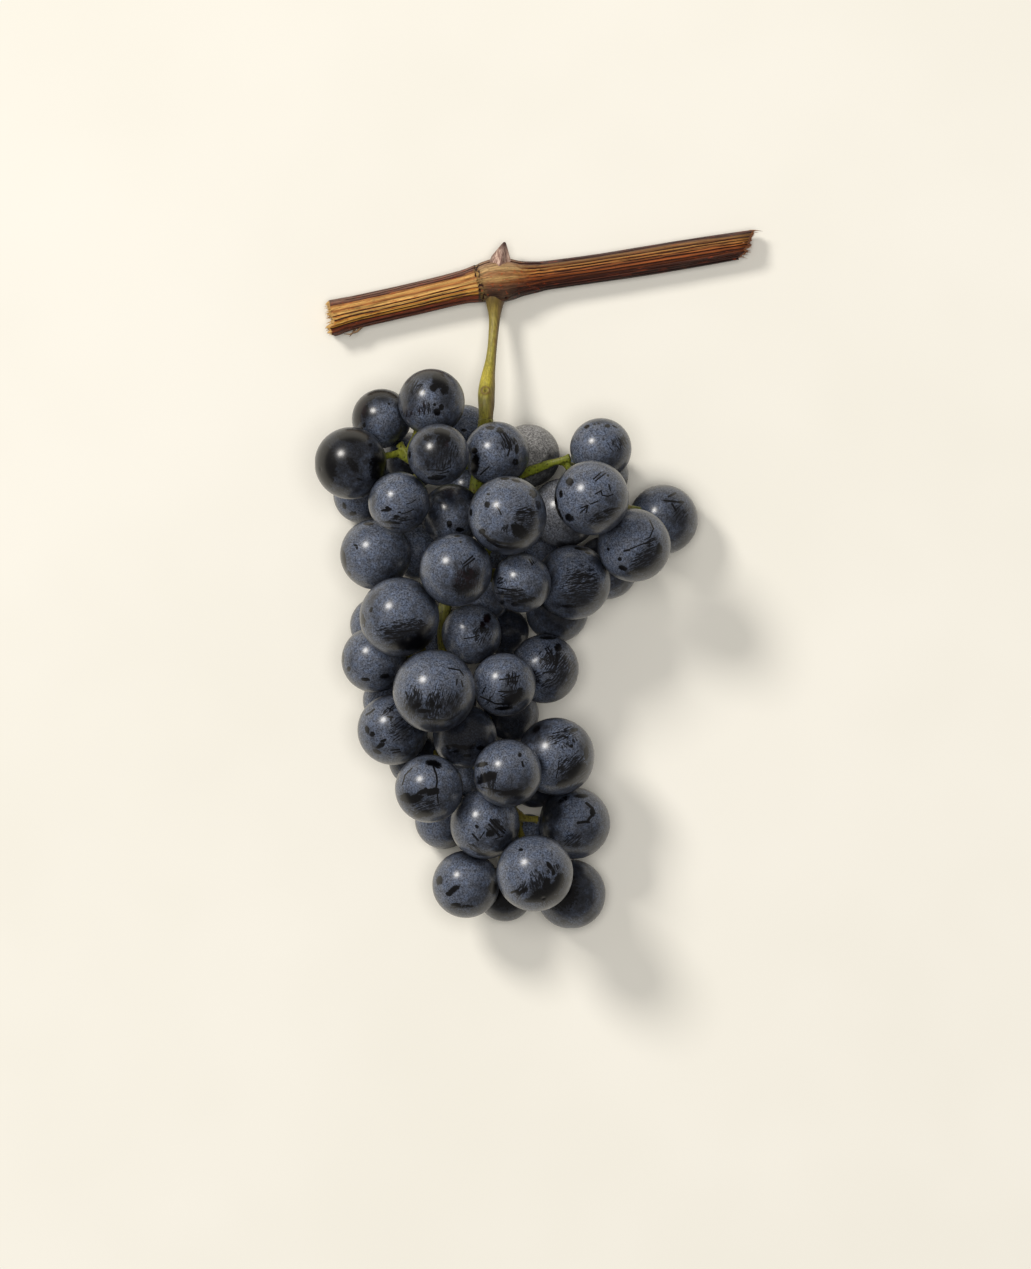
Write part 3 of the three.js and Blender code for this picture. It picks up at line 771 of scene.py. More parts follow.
def peduncle_skin(place, turn):
    """A corner of the peduncle: faint lengthwise ribs, and a ringed scar with a pit."""
    middle, direction, sideways, up = stem_frame(PEDUNCLE_LINE, place)
    radius = along_rows(PEDUNCLE_LINE, place)[3]
    ring = Vector((math.cos(turn), math.sin(turn), 0))
    rib = noise.noise(ring * 7.0 + Vector((0, 3, place * 6)))
    radius += PEDUNCLE_UNEVEN_MM * noise.noise(ring * 2.2 + Vector((0, 0, place * 3)))
    radius += PEDUNCLE_RIB_MM * rib
    if place in (0.0, 1.0):
        radius = 0.0
    corner = middle + (sideways * math.cos(turn) + up * math.sin(turn)) * radius
    from_scar = (corner - PEDUNCLE_SCAR).length
    ring_distance, ring_width, ring_height = PEDUNCLE_SCAR_RING
    pit_width, pit_depth = PEDUNCLE_SCAR_PIT
    rim = math.exp(-(((from_scar - ring_distance) / ring_width) ** 2))
    pit = math.exp(-((from_scar / pit_width) ** 2))
    if radius > 0:
        corner += (corner - middle).normalized() * (ring_height * rim - pit_depth * pit)
    right_edge = smooth_step(0.1, 0.8, math.cos(turn))
    return corner, (rim, pit, right_edge)


def inner_stem():
    """The rachis and pedicels: a welded copy of the CAD stalk, rounded off and made warty."""
    stem = bmesh.new()
    stem.from_mesh(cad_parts["stalk"].data)
    bmesh.ops.remove_doubles(stem, verts=stem.verts, dist=CAD_WELD_MM * MM)
    everything = stem.verts[:] + stem.edges[:] + stem.faces[:]
    cut = bmesh.ops.bisect_plane(
        stem, geom=everything, dist=0, plane_co=(0, PEDUNCLE_MEETS_RACHIS * MM, 0),
        plane_no=(0, 1, 0), clear_outer=True, clear_inner=False,
    )
    edges = [part for part in cut["geom_cut"] if isinstance(part, bmesh.types.BMEdge)]
    bmesh.ops.holes_fill(stem, edges=edges, sides=0)
    data = bpy.data.meshes.new("stalk_branches")
    stem.to_mesh(data)
    stem.free()
    piece = bpy.data.objects.new("stalk_branches", data)
    bpy.context.scene.collection.objects.link(piece)
    rounding = piece.modifiers.new("rounding", "REMESH")
    rounding.mode = "VOXEL"
    rounding.voxel_size = RACHIS_VOXEL
    rounding.use_smooth_shade = True
    evening = piece.modifiers.new("evening", "SMOOTH")
    evening.factor = 0.5
    evening.iterations = 3
    shaped = bpy.data.meshes.new_from_object(
        piece.evaluated_get(bpy.context.evaluated_depsgraph_get())
    )
    piece.modifiers.clear()
    piece.data = shaped
    shaped.name = "stalk_branches"
    bpy.data.meshes.remove(data)
    for corner, facing in [(vert, vert.normal.copy()) for vert in shaped.vertices]:
        wart = noise.noise(corner.co * 900) + 0.5 * noise.noise(corner.co * 2200)
        corner.co += facing * (RACHIS_FULLNESS_MM + WART_MM * wart) * MM
    return piece


def stalk_finish():
    """Green bark with dark warts, yellower up the peduncle and brown where it meets the cane."""
    material, tree, skin = new_finish("stalk_bark")
    where = shader_node(tree, "ShaderNodeTexCoord").outputs["Object"]
    y_place = shader_node(tree, "ShaderNodeSeparateXYZ", {0: where}).outputs["Y"]
    cloudy = cloudy_noise(tree, where, 260.0)
    y = reckon(tree, "ADD", y_place, reckon(tree, "MULTIPLY_ADD", cloudy, 3 * MM, -1.5 * MM))
    along = reckon(tree, "MULTIPLY_ADD", y, 1 / STALK_LENGTH, STALK_MIDDLE)
    colour = colour_bands(tree, along, STALK_BANDS)
    right_edge = reckon(tree, "MULTIPLY", mesh_value(tree, "right_edge"), 0.6)
    colour = blend_colours(tree, right_edge, colour, paint(*RIGHT_EDGE_BROWN))
    fibres = grain_on(tree, where, (1.0, 0.14, 1.0), 2600.0)
    lines = between_values(tree, fibres, 0.35, 0.65, 0.72, 1.18)
    colour = blend_colours(tree, 1.0, colour, lines, "MULTIPLY")
    warts = shader_node(tree, "ShaderNodeTexVoronoi", {"Vector": where, "Scale": 1100.0})
    on_pedicels = between_values(tree, along, 0.76, 0.70)
    wart_spots = between_values(tree, warts.outputs["Distance"], 0.34, 0.16, 0.0, 0.75)
    dark = reckon(tree, "MULTIPLY", wart_spots, on_pedicels)
    colour = blend_colours(tree, dark, colour, paint(*WART_BROWN))
    blotch = between_values(tree, cloudy, 0.56, 0.68, 0.0, 0.35)
    colour = blend_colours(tree, blotch, colour, paint(*STALK_BLOTCH_BROWN))
    scar_rim = reckon(tree, "MULTIPLY", mesh_value(tree, "scar_rim"), 0.8)
    colour = blend_colours(tree, scar_rim, colour, paint(*SCAR_RIM_BROWN))
    colour = blend_colours(tree, mesh_value(tree, "scar_pit"), colour, paint(*SCAR_PIT_BROWN))
    tree.links.new(colour, skin.inputs["Base Color"])
    relief_on(tree, skin, fibres, 0.4, 0.14 * MM)
    tree.links.new(between_values(tree, cloudy, 0.3, 0.7, 0.64, 0.46), skin.inputs["Roughness"])
    return material


stalk_bark = stalk_finish()
peduncle_mesh = rolled_stem(
    PEDUNCLE_STEPS, PEDUNCLE_AROUND, peduncle_skin, ("scar_rim", "scar_pit", "right_edge"),
)
as_piece("stalk_peduncle", peduncle_mesh, stalk_bark, "stalk")
branches = inner_stem()
branches.data.materials.clear()
branches.data.materials.append(stalk_bark)
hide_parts("stalk")
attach(branches, "root")

# Berries: each a thin-skinned ball of flesh, near-black under a slate-blue waxy bloom. The
# bloom is rubbed off in dark patches, spots and fine scratches where berries and fingers
# touched it. A berry dips a little round its pedicel and has a tiny scar opposite to it.

# Painted shade darkens the berries' sides, their lower right, the dark between them and the berries
# lying deep in the bunch
BERRY_DETAIL = 5

# Sizes below are in parts of a berry's radius, and angles in radians, unless they say MM
BERRY_FULLNESS = 1.012
BERRY_UNEVEN = 0.005
DIMPLE_DEPTH = 0.06
DIMPLE_ANGLE = 0.24
TIP_SCAR_MM = 0.45
TIP_SCAR_DEPTH = 0.012
SPOT_EDGE = 0.6
SCRATCH_HALF_WIDTH = 0.017

# Bloom is worn where berries nearly touch, which also paints shade between them; below this height each
# berry's sides carry painted shade
TOUCH_GAP_MM = 1.3
TOUCH_ANGLE = 0.7
TOUCH_WEAR_AND_SHADE = 0.85
SIDE_PAINTED_SHADE = 0.85
SIDE_PAINTED_SHADE_FROM = 0.52
PEDICEL_REACH_MM = 0.9

# How near to the edge of a mark, in parts of the radius, each round of refining cuts edges
REFINING = (0.06, 0.034, 0.02)
FINEST_LAYER = "scratched"
DIMPLE_REFINING = 1.6

# How far above a berry's middle its triangles are refined, and its marks are written
REFINED_FROM = 0.05
MARKED_FROM = -0.05

# Marks lie on the side of a berry that faces up. Their places are in parts of its radius,
# across and along from its middle as seen from above, and angles are in degrees.
# The thin layer holds both thin bloom and painted shade
MARK_LAYERS = ("rubbed", "scratched", "hatched", "thin", "wine_red", "dusty")


def oval_mark(layer, across, along, wide, high, turn, depth, softness):
    """A mark with an oval outline: gives how deep it is at a place, and how far the outline is."""
    cosine = math.cos(math.radians(turn))
    sine = math.sin(math.radians(turn))
    small = min(wide, high)

    def outline_distance(u, v):
        first = ((u - across) * cosine + (v - along) * sine) / wide
        second = ((v - along) * cosine - (u - across) * sine) / high
        return (math.hypot(first, second) - 1) * small

    return {
        "layer": layer, "across": across, "along": along, "turn": turn, "depth": depth,
        "reach": max(wide, high) * (1 + softness), "soft": softness * small,
        "distance": outline_distance,
    }


def spot(across, along, wide, high=None, turn=0, depth=1.0):
    """A patch where the bloom is gone, or thin where the depth is less than 1."""
    return oval_mark("rubbed", across, along, wide, high or wide, turn, depth, SPOT_EDGE)


def thin_bloom_and_shade(across, along, wide, high=None, turn=0, depth=0.6):
    """A broad soft darkening of the bloom: thin bloom on some berries, painted shade on most."""
    return oval_mark("thin", across, along, wide, high or wide, turn, depth, 1.0)


def wine(across, along, wide, high=None, turn=0, depth=0.8):
    """A place where the bare skin is more wine-red than black."""
    return oval_mark("wine_red", across, along, wide, high or wide, turn, depth, 0.8)


def dusty(across, along, wide, high=None, turn=0, depth=0.8):
    """A place where the bloom lies thick, pale and warm grey."""
    return oval_mark("dusty", across, along, wide, high or wide, turn, depth, 0.8)


def hatching(across, along, wide, high=None, turn=0, depth=1.0):
    """Many short scratches side by side, running at an angle, as rubbing leaves them."""
    return oval_mark("hatched", across, along, wide, high or wide, turn, depth, 0.5)


def distance_to_line(u, v, start, end):
    """How far a place is from a straight line between two points."""
    run = (end[0] - start[0], end[1] - start[1])
    length = run[0] ** 2 + run[1] ** 2
    share = ((u - start[0]) * run[0] + (v - start[1]) * run[1]) / length
    share = min(max(share, 0.0), 1.0)
    return math.hypot(u - start[0] - share * run[0], v - start[1] - share * run[1])


def scratch(*points, wide=SCRATCH_HALF_WIDTH):
    """A thin dark line through the bloom, from point to point."""
    across = sum(point[0] for point in points) / len(points)
    along = sum(point[1] for point in points) / len(points)
    reach = max(math.hypot(u - across, v - along) for u, v in points) + 3 * wide

    def outline_distance(u, v):
        return min(distance_to_line(u, v, *ends) for ends in zip(points, points[1:])) - wide

    return {
        "layer": "scratched", "across": across, "along": along, "turn": 0, "depth": 1.0,
        "reach": reach, "soft": 0.7 * wide, "distance": outline_distance,
    }


# Many broad soft marks below are painted shade: the darker right and lower parts of berries, shadows of
# berries in front and the dark of berries deep in the bunch
BERRY_MARKS = {
    "berry_48": [
        spot(-0.51, 0.27, 0.075, 0.09), spot(-0.49, 0.54, 0.05, 0.03), spot(-0.93, 0.07, 0.04, 0.1),
        spot(-0.65, -0.41, 0.09, 0.08), spot(-0.07, 0.94, 0.13, 0.035),
        spot(0.22, 0.89, 0.13, 0.045, -15), spot(0.65, 0.55, 0.1, 0.14, 30, 0.8),
        spot(0.78, 0.27, 0.08, 0.16, 10, 0.7), spot(0.38, 0.08, 0.16, 0.04, -8),
        spot(0.62, 0.06, 0.09, 0.05), spot(0.34, -0.12, 0.1, 0.03),
        spot(0.2, -0.32, 0.13, 0.16, 0, 0.9), spot(0.44, -0.5, 0.16, 0.13, 20, 0.9),
        scratch((-0.6, -0.5), (-0.45, -0.62), (-0.2, -0.7), (0.1, -0.74), (0.4, -0.66), wide=0.03),
        scratch((-0.5, -0.62), (-0.25, -0.78), (0.1, -0.84), (0.35, -0.78), wide=0.035),
        scratch((0.5, 0.15), (0.62, 0.1), (0.6, -0.05)),
        scratch((-0.3, 0.25), (-0.2, 0.12), (-0.16, 0.02)), thin_bloom_and_shade(0.1, -0.85, 0.6, 0.25, 0, 0.9),
        thin_bloom_and_shade(0.6, -0.1, 0.4, 0.6, 0, 0.45), hatching(-0.05, -0.38, 0.2, 0.12, 80),
        hatching(0.5, -0.3, 0.3, 0.3, 15), thin_bloom_and_shade(0.1, -0.75, 0.8, 0.3, 0, 0.9),
        hatching(0.45, 0.0, 0.35, 0.3, 12, 1.05), spot(0.3, -0.4, 0.2, 0.18, 15),
        thin_bloom_and_shade(0.3, -0.4, 0.4, 0.4, 0, 0.7),
    ],
    "berry_47": [
        spot(0.12, 0.72, 0.32, 0.13, -8), spot(0.3, 0.52, 0.12, 0.16, 20, 0.9),
        spot(-0.93, 0.0, 0.05, 0.12), spot(-0.04, -0.74, 0.3, 0.09, 5),
        thin_bloom_and_shade(0.1, 0.3, 0.75, 0.5, 0, 0.85), wine(0.3, 0.35, 0.12, 0.2),
        scratch((-0.35, -0.5), (-0.05, -0.5), (0.15, -0.52), (0.35, -0.42)),
        scratch((0.05, -0.62), (0.35, -0.55)), hatching(0.0, 0.2, 0.4, 0.4, 85),
        hatching(-0.3, -0.3, 0.2, 0.2, 70), thin_bloom_and_shade(0.0, 0.1, 1.0, 0.9, 0, 0.85),
        spot(0.15, 0.45, 0.25, 0.3, 0, 0.8), spot(-0.35, 0.55, 0.2, 0.14, 30, 0.8),
        hatching(0.2, 0.0, 0.6, 0.5, 78, 1.0),
    ],
    "berry_46": [
        hatching(-0.5, -0.28, 0.42, 0.22, 82, 1.2), hatching(-0.05, -0.4, 0.45, 0.22, 78, 1.15),
        hatching(0.42, -0.36, 0.42, 0.28, 72, 1.05), hatching(0.1, -0.66, 0.55, 0.12, 4, 0.9),
        spot(-0.42, -0.36, 0.14, 0.07, 20), spot(-0.05, -0.3, 0.07, 0.1),
        spot(-0.25, -0.48, 0.18, 0.06), spot(0.12, -0.38, 0.08, 0.05, 30),
        thin_bloom_and_shade(-0.3, -0.45, 0.6, 0.3, 0, 0.7), thin_bloom_and_shade(0.4, -0.42, 0.55, 0.4, 0, 0.6),
        thin_bloom_and_shade(0.1, -0.85, 0.8, 0.2, 0, 0.8), scratch((0.35, 0.55), (0.62, 0.5), (0.7, 0.38)),
        scratch((0.55, 0.28), (0.54, 0.16)), scratch((0.66, 0.24), (0.69, 0.1)),
        scratch((-0.27, -0.66), (0.0, -0.7), (0.3, -0.7)), scratch((-0.68, -0.02), (-0.64, -0.14)),
        scratch((0.0, -0.76), (0.4, -0.68), (0.6, -0.55)), hatching(0.05, -0.5, 0.75, 0.2, 80, 1.0),
    ],
    "berry_45": [
        spot(-0.75, 0.25, 0.2, 0.07, 12), spot(-0.62, -0.1, 0.3, 0.1, 22),
        spot(-0.8, -0.25, 0.12, 0.08, 30, 0.9), spot(0.36, 0.54, 0.06, 0.07),
        scratch((0.43, 0.33), (0.46, 0.2), wide=0.028), spot(0.2, -0.55, 0.3, 0.05, 3),
        spot(0.3, -0.7, 0.13, 0.08), spot(0.6, -0.5, 0.14, 0.1, 40),
        spot(-0.35, -0.52, 0.12, 0.05, -10, 0.9), thin_bloom_and_shade(0.65, 0.1, 0.3, 0.5, 0, 0.3),
        hatching(0.35, -0.6, 0.4, 0.14, 20), scratch((-0.75, -0.42), (-0.3, -0.5), (0.1, -0.6)),
        thin_bloom_and_shade(0.1, -0.6, 0.8, 0.4, 0, 0.9), hatching(-0.45, -0.35, 0.4, 0.16, 84, 1.2),
        hatching(0.2, -0.55, 0.4, 0.14, 10, 1.1), spot(-0.6, -0.12, 0.34, 0.16, 20, 0.95),
        spot(0.15, -0.58, 0.45, 0.09, 4), thin_bloom_and_shade(0.2, -0.05, 0.45, 0.3, 20, 0.55),
    ],
    "berry_44": [
        spot(-0.58, 0.42, 0.1, 0.11), spot(-0.82, 0.1, 0.05, 0.1),
        spot(-0.6, -0.53, 0.14, 0.1, -35), spot(0.44, 0.6, 0.035),
        scratch((0.05, 0.5), (0.25, 0.68)), scratch((0.1, 0.45), (0.37, 0.66)),
        scratch((0.1, 0.1), (0.25, 0.19), (0.28, 0.07), (0.43, 0.04), (0.57, 0.09)),
        scratch((0.46, 0.36), (0.5, 0.2)), scratch((-0.03, -0.17), (0.17, -0.09)),
        scratch((-0.3, -0.28), (-0.1, -0.2)), scratch((-0.1, -0.2), (-0.15, -0.4)),
        scratch((0.36, -0.38), (0.55, -0.3), (0.75, -0.28), wide=0.028),
        scratch((-0.3, -0.4), (-0.12, -0.24)),
        scratch((-0.97, 0.0), (-0.93, -0.3), (-0.8, -0.56), wide=0.035),
        spot(0.2, -0.55, 0.12, 0.05, 20, 0.8), thin_bloom_and_shade(0.35, -0.6, 0.7, 0.35, 10, 0.8),
        hatching(0.3, -0.5, 0.5, 0.2, 25, 1.05),
    ],
    "berry_43": [
        spot(0.05, 0.93, 0.1, 0.035), spot(0.13, 0.77, 0.035),
        scratch((0.22, 0.17), (0.46, 0.38), wide=0.022),
        scratch((0.25, 0.11), (0.51, 0.31), wide=0.022), spot(0.42, -0.08, 0.22, 0.15, 5, 0.75),
        spot(0.25, -0.5, 0.28, 0.25, 0, 0.6), thin_bloom_and_shade(-0.1, -0.7, 0.6, 0.2, 0, 0.5),
        wine(0.35, -0.25, 0.45, 0.4), spot(-0.02, 0.02, 0.13, 0.13, 0, 0.35),
        scratch((0.14, 0.24), (0.22, 0.05), (0.2, -0.12), wide=0.01),
        thin_bloom_and_shade(0.35, -0.35, 0.7, 0.6, 0, 0.85), hatching(0.3, -0.35, 0.5, 0.4, 82, 1.05),
        spot(0.4, -0.12, 0.26, 0.18, 5, 0.85), spot(0.2, -0.45, 0.34, 0.22, 10, 0.75),
    ],
    "berry_42": [
        spot(-0.36, 0.61, 0.07, 0.04, 15), spot(0.38, 0.2, 0.13, 0.06, -50),
        spot(0.48, 0.02, 0.05, 0.09), spot(0.45, -0.42, 0.3, 0.17, 30),
        spot(0.15, -0.62, 0.34, 0.11, 8), spot(-0.3, -0.45, 0.13, 0.05, 30),
        spot(0.62, -0.12, 0.08, 0.16, -15, 0.9),
        scratch((-0.6, -0.5), (-0.45, -0.45), (-0.4, -0.55), wide=0.03),
        hatching(0.08, -0.25, 0.35, 0.2, -58), hatching(-0.3, -0.48, 0.3, 0.1, 60),
        hatching(0.5, 0.1, 0.12, 0.25, -62), thin_bloom_and_shade(0.3, -0.5, 0.65, 0.4, 15, 0.8),
        thin_bloom_and_shade(0.7, 0.0, 0.25, 0.5, 0, 0.4), hatching(0.2, -0.4, 0.55, 0.28, -72, 1.2),
        hatching(-0.35, -0.42, 0.25, 0.14, 60, 1.1), spot(0.3, -0.3, 0.1, 0.22, -12),
        spot(0.1, -0.5, 0.16, 0.08, 20), spot(0.2, -0.66, 0.5, 0.1, 6),
        spot(0.62, -0.25, 0.14, 0.3, -20, 0.95), hatching(0.05, -0.38, 0.38, 0.18, -75, 1.2),
    ],
    "berry_41": [
        spot(-0.39, -0.25, 0.18, 0.06, 8), spot(-0.38, -0.18, 0.07, 0.06),
        spot(-0.07, -0.46, 0.12, 0.045, -8), spot(-0.2, -0.66, 0.33, 0.045, -4),
        scratch((0.08, -0.38), (0.3, -0.32), (0.49, -0.22)), spot(0.02, -0.33, 0.06, 0.03),
        scratch((0.25, -0.05), (0.4, -0.02), (0.54, 0.08), wide=0.012),
        scratch((-0.5, -0.82), (0.0, -0.84)), thin_bloom_and_shade(0.0, -0.75, 0.7, 0.25, 0, 0.5),
        thin_bloom_and_shade(-0.85, 0.0, 0.12, 0.5, 0, 0.5), hatching(0.1, -0.55, 0.5, 0.14, 5),
    ],
    "berry_40": [
        spot(0.08, 0.75, 0.2, 0.09, -10),
        scratch((0.13, 0.65), (0.22, 0.4), (0.24, 0.2), (0.2, -0.02), wide=0.026),
        scratch((-0.78, 0.12), (-0.7, 0.4), (-0.5, 0.6), wide=0.02),
        spot(-0.68, -0.25, 0.2, 0.13, 10), spot(-0.2, -0.08, 0.16, 0.06, 20), spot(-0.1, 0.0, 0.05),
        spot(0.2, -0.05, 0.11, 0.09), scratch((0.24, -0.1), (0.27, -0.42), wide=0.02),
        spot(-0.1, -0.72, 0.28, 0.12, 0, 0.8), spot(-0.3, -0.8, 0.1, 0.08),
        scratch((-0.4, -0.2), (-0.3, -0.12), wide=0.03), thin_bloom_and_shade(-0.1, -0.7, 0.6, 0.3, 0, 0.6),
        thin_bloom_and_shade(0.7, 0.0, 0.25, 0.6, 0, 0.35), thin_bloom_and_shade(0.0, 0.85, 0.4, 0.15, 0, 0.5),
        spot(-0.45, -0.3, 0.3, 0.14, 12), spot(0.1, -0.12, 0.25, 0.08, 10),
        thin_bloom_and_shade(-0.3, -0.3, 0.6, 0.35, 0, 0.7), hatching(-0.1, -0.55, 0.6, 0.3, 20, 1.0),
        spot(-0.05, -0.08, 0.3, 0.07, 12), spot(0.2, 0.72, 0.22, 0.1, -25, 0.9),
    ],
    "berry_39": [
        scratch((-0.82, -0.16), (-0.45, -0.22), (-0.16, -0.28), (0.05, -0.24), wide=0.02),
        spot(-0.65, -0.65, 0.09, 0.08),
        scratch((-0.85, -0.35), (-0.55, -0.38), (-0.2, -0.45), (0.0, -0.42), wide=0.016),
        spot(-0.22, -0.72, 0.13, 0.09), spot(0.3, -0.56, 0.24, 0.1, 12, 0.8),
        scratch((0.26, 0.78), (0.36, 0.62), wide=0.026), scratch((0.33, 0.8), (0.42, 0.66)),
        thin_bloom_and_shade(0.7, 0.2, 0.25, 0.6, 0, 0.4), hatching(-0.7, 0.05, 0.15, 0.2, 35),
        thin_bloom_and_shade(0.0, -0.6, 0.9, 0.4, 0, 0.75), hatching(-0.3, -0.4, 0.6, 0.3, -8, 1.05),
        spot(0.1, -0.6, 0.3, 0.08, 10),
    ],
    # Berry_38: the broad mark at its upper left is the painted shadow of berry_44 above it
    "berry_38": [
        spot(-0.7, -0.11, 0.04, 0.05), spot(-0.39, -0.38, 0.055, 0.06),
        scratch((-0.27, -0.16), (-0.13, -0.13), wide=0.026),
        scratch((-0.1, -0.1), (0.15, 0.0), (0.54, 0.14)),
        scratch((0.43, 0.68), (0.53, 0.45), (0.42, 0.2)), hatching(0.3, -0.5, 0.45, 0.3, 30),
        hatching(0.5, 0.0, 0.22, 0.28, 25), thin_bloom_and_shade(0.5, -0.45, 0.5, 0.45, 20, 0.75),
        thin_bloom_and_shade(-0.55, 0.6, 0.4, 0.35, 0, 0.6), spot(0.1, -0.7, 0.35, 0.09, 10, 0.8),
        spot(0.68, -0.1, 0.1, 0.2, 0, 0.8), spot(-0.3, -0.62, 0.14, 0.07, -20),
        hatching(0.34, -0.42, 0.5, 0.38, 25, 1.15), thin_bloom_and_shade(0.35, -0.65, 0.65, 0.3, 15, 0.9),
    ],
    "berry_37": [
        spot(-0.71, 0.18, 0.045, 0.07, -20), spot(-0.93, -0.06, 0.05, 0.15),
        thin_bloom_and_shade(-0.75, 0.2, 0.4, 0.8, 0, 0.4), scratch((-0.96, 0.1), (-0.86, -0.1), (-0.88, -0.25)),
        hatching(0.3, -0.15, 0.3, 0.14, 12), spot(0.35, -0.62, 0.48, 0.15, 3),
        spot(0.6, -0.38, 0.25, 0.14, 35, 0.9), thin_bloom_and_shade(0.4, -0.5, 0.65, 0.4, 5, 0.85),
        scratch((-0.35, -0.4), (0.0, -0.38), (0.3, -0.34)), scratch((-0.3, -0.55), (0.1, -0.5)),
        hatching(0.35, -0.45, 0.6, 0.3, 3, 1.2), thin_bloom_and_shade(0.35, -0.6, 0.8, 0.4, 0, 1.0),
        hatching(0.15, -0.35, 0.8, 0.3, 6, 1.1), spot(0.3, -0.7, 0.6, 0.14, 4),
    ],
    "berry_36": [
        spot(-0.23, -0.07, 0.07, 0.05, -30),
        scratch((0.16, 0.14), (0.32, -0.05), (0.55, -0.25), wide=0.026),
        scratch((0.24, 0.14), (0.4, -0.02), (0.58, -0.18), wide=0.02),
        scratch((0.12, 0.0), (0.26, -0.16), (0.4, -0.33), wide=0.028),
        spot(0.14, -0.27, 0.14, 0.1, 20), scratch((-0.36, -0.28), (-0.2, -0.46), wide=0.026),
        scratch((-0.02, -0.22), (-0.14, -0.4)), scratch((0.3, -0.42), (0.5, -0.34)),
        thin_bloom_and_shade(0.2, -0.6, 0.65, 0.35, 0, 0.6), thin_bloom_and_shade(0.6, 0.1, 0.3, 0.5, 0, 0.4),
        hatching(-0.3, -0.7, 0.3, 0.12, -35), spot(0.1, -0.86, 0.35, 0.06, 0, 0.9),
        hatching(0.28, -0.1, 0.25, 0.3, -50, 1.15), thin_bloom_and_shade(0.25, -0.2, 0.35, 0.3, 0, 0.6),
    ],
    "berry_35": [
        scratch((-0.13, 0.15), (0.2, 0.2), (0.5, 0.28), wide=0.02),
        scratch((-0.16, -0.22), (0.25, -0.22), wide=0.022),
        scratch((0.16, 0.3), (0.14, 0.0), wide=0.02), scratch((0.28, 0.35), (0.26, 0.05)),
        scratch((0.38, 0.32), (0.36, 0.0)), scratch((0.1, 0.08), (0.42, 0.1)),
        scratch((-0.73, -0.38), (-0.5, -0.48), (-0.27, -0.6), (-0.04, -0.6), wide=0.024),
        scratch((-0.68, -0.28), (-0.58, -0.08)), spot(0.3, -0.45, 0.25, 0.17, 30),
        spot(0.5, -0.25, 0.12, 0.2, -20, 0.9), spot(0.0, -0.74, 0.3, 0.07, 5),
        thin_bloom_and_shade(0.35, -0.45, 0.6, 0.45, 30, 0.8), thin_bloom_and_shade(0.6, 0.3, 0.3, 0.3, 0, 0.4),
        hatching(0.3, -0.25, 0.3, 0.25, 80), hatching(-0.45, -0.5, 0.3, 0.08, 60),
        hatching(0.25, -0.4, 0.45, 0.3, 20, 1.15), spot(0.25, -0.5, 0.35, 0.14, 18),
        hatching(0.25, 0.1, 0.35, 0.3, 80, 1.0), scratch((-0.1, -0.35), (0.1, -0.42), (0.3, -0.4)),
    ],
    "berry_34": [
        spot(0.55, 0.5, 0.06), spot(0.25, -0.45, 0.1, 0.03, -20), thin_bloom_and_shade(0.0, 0.0, 2.0, 2.0, 0, 0.82),
        spot(-0.7, -0.1, 0.35, 0.7), spot(0.1, 0.75, 0.5, 0.2),
        spot(0.05, -0.05, 0.15, 0.3, 30, 0.8), spot(0.75, -0.1, 0.25, 0.5, 0, 0.9),
        thin_bloom_and_shade(-0.3, 0.3, 1.2, 1.2, 0, 1.0),
    ],
    "berry_33": [
        spot(0.26, 0.58, 0.26, 0.2), spot(0.4, 0.36, 0.14, 0.16),
        spot(0.07, 0.42, 0.13, 0.14, 20, 0.9), spot(0.17, -0.3, 0.11, 0.13),
        spot(0.3, -0.16, 0.08, 0.1), spot(0.1, -0.08, 0.05), thin_bloom_and_shade(0.3, 0.5, 0.4, 0.4, 0, 0.5),
        thin_bloom_and_shade(-0.2, -0.7, 0.6, 0.3, 0, 0.4), hatching(-0.28, -0.22, 0.12, 0.2, 86),
        hatching(-0.72, -0.35, 0.12, 0.25, 80), wine(-0.28, -0.22, 0.2, 0.3),
        wine(-0.7, -0.35, 0.25, 0.35), thin_bloom_and_shade(0.5, 0.1, 0.4, 0.7, 0, 0.7),
        thin_bloom_and_shade(-0.7, 0.1, 0.3, 0.8, 0, 0.75), thin_bloom_and_shade(0.0, 0.85, 0.7, 0.25, 0, 0.9),
        spot(0.2, 0.75, 0.2, 0.14), hatching(-0.55, 0.45, 0.25, 0.4, 60, 1.1),
        hatching(-0.2, -0.2, 0.25, 0.3, 86, 1.0),
    ],
    "berry_32": [
        spot(-0.5, 0.7, 0.14, 0.09, 40, 0.9), spot(0.48, 0.68, 0.1, 0.05, 20),
        spot(0.4, 0.27, 0.05), spot(0.25, 0.5, 0.08, 0.03, -30), hatching(0.1, 0.6, 0.45, 0.1, 20),
        hatching(0.35, 0.35, 0.1, 0.25, -60), spot(0.62, -0.3, 0.2, 0.1, 35),
        spot(0.45, -0.45, 0.16, 0.1, 50), spot(0.78, 0.1, 0.07, 0.2, 0, 0.9),
        spot(0.2, -0.68, 0.25, 0.1, 20, 0.9), thin_bloom_and_shade(0.4, -0.5, 0.6, 0.4, 30, 0.75),
        thin_bloom_and_shade(0.75, 0.2, 0.2, 0.5, 0, 0.6),
        scratch((0.0, -0.55), (0.06, -0.3), (0.08, -0.1), wide=0.012),
        spot(0.5, -0.38, 0.3, 0.14, 42), hatching(0.45, -0.35, 0.5, 0.45, 40, 1.1),
        thin_bloom_and_shade(-0.55, 0.6, 0.4, 0.3, 40, 0.9), hatching(0.15, 0.55, 0.5, 0.2, 25, 1.0),
    ],
    # Berry_31: the broad mark at its upper left is the painted shadow of berry_44 and berry_48
    "berry_31": [
        spot(0.2, 0.89, 0.2, 0.045, -12), spot(0.4, 0.78, 0.1, 0.035, -20),
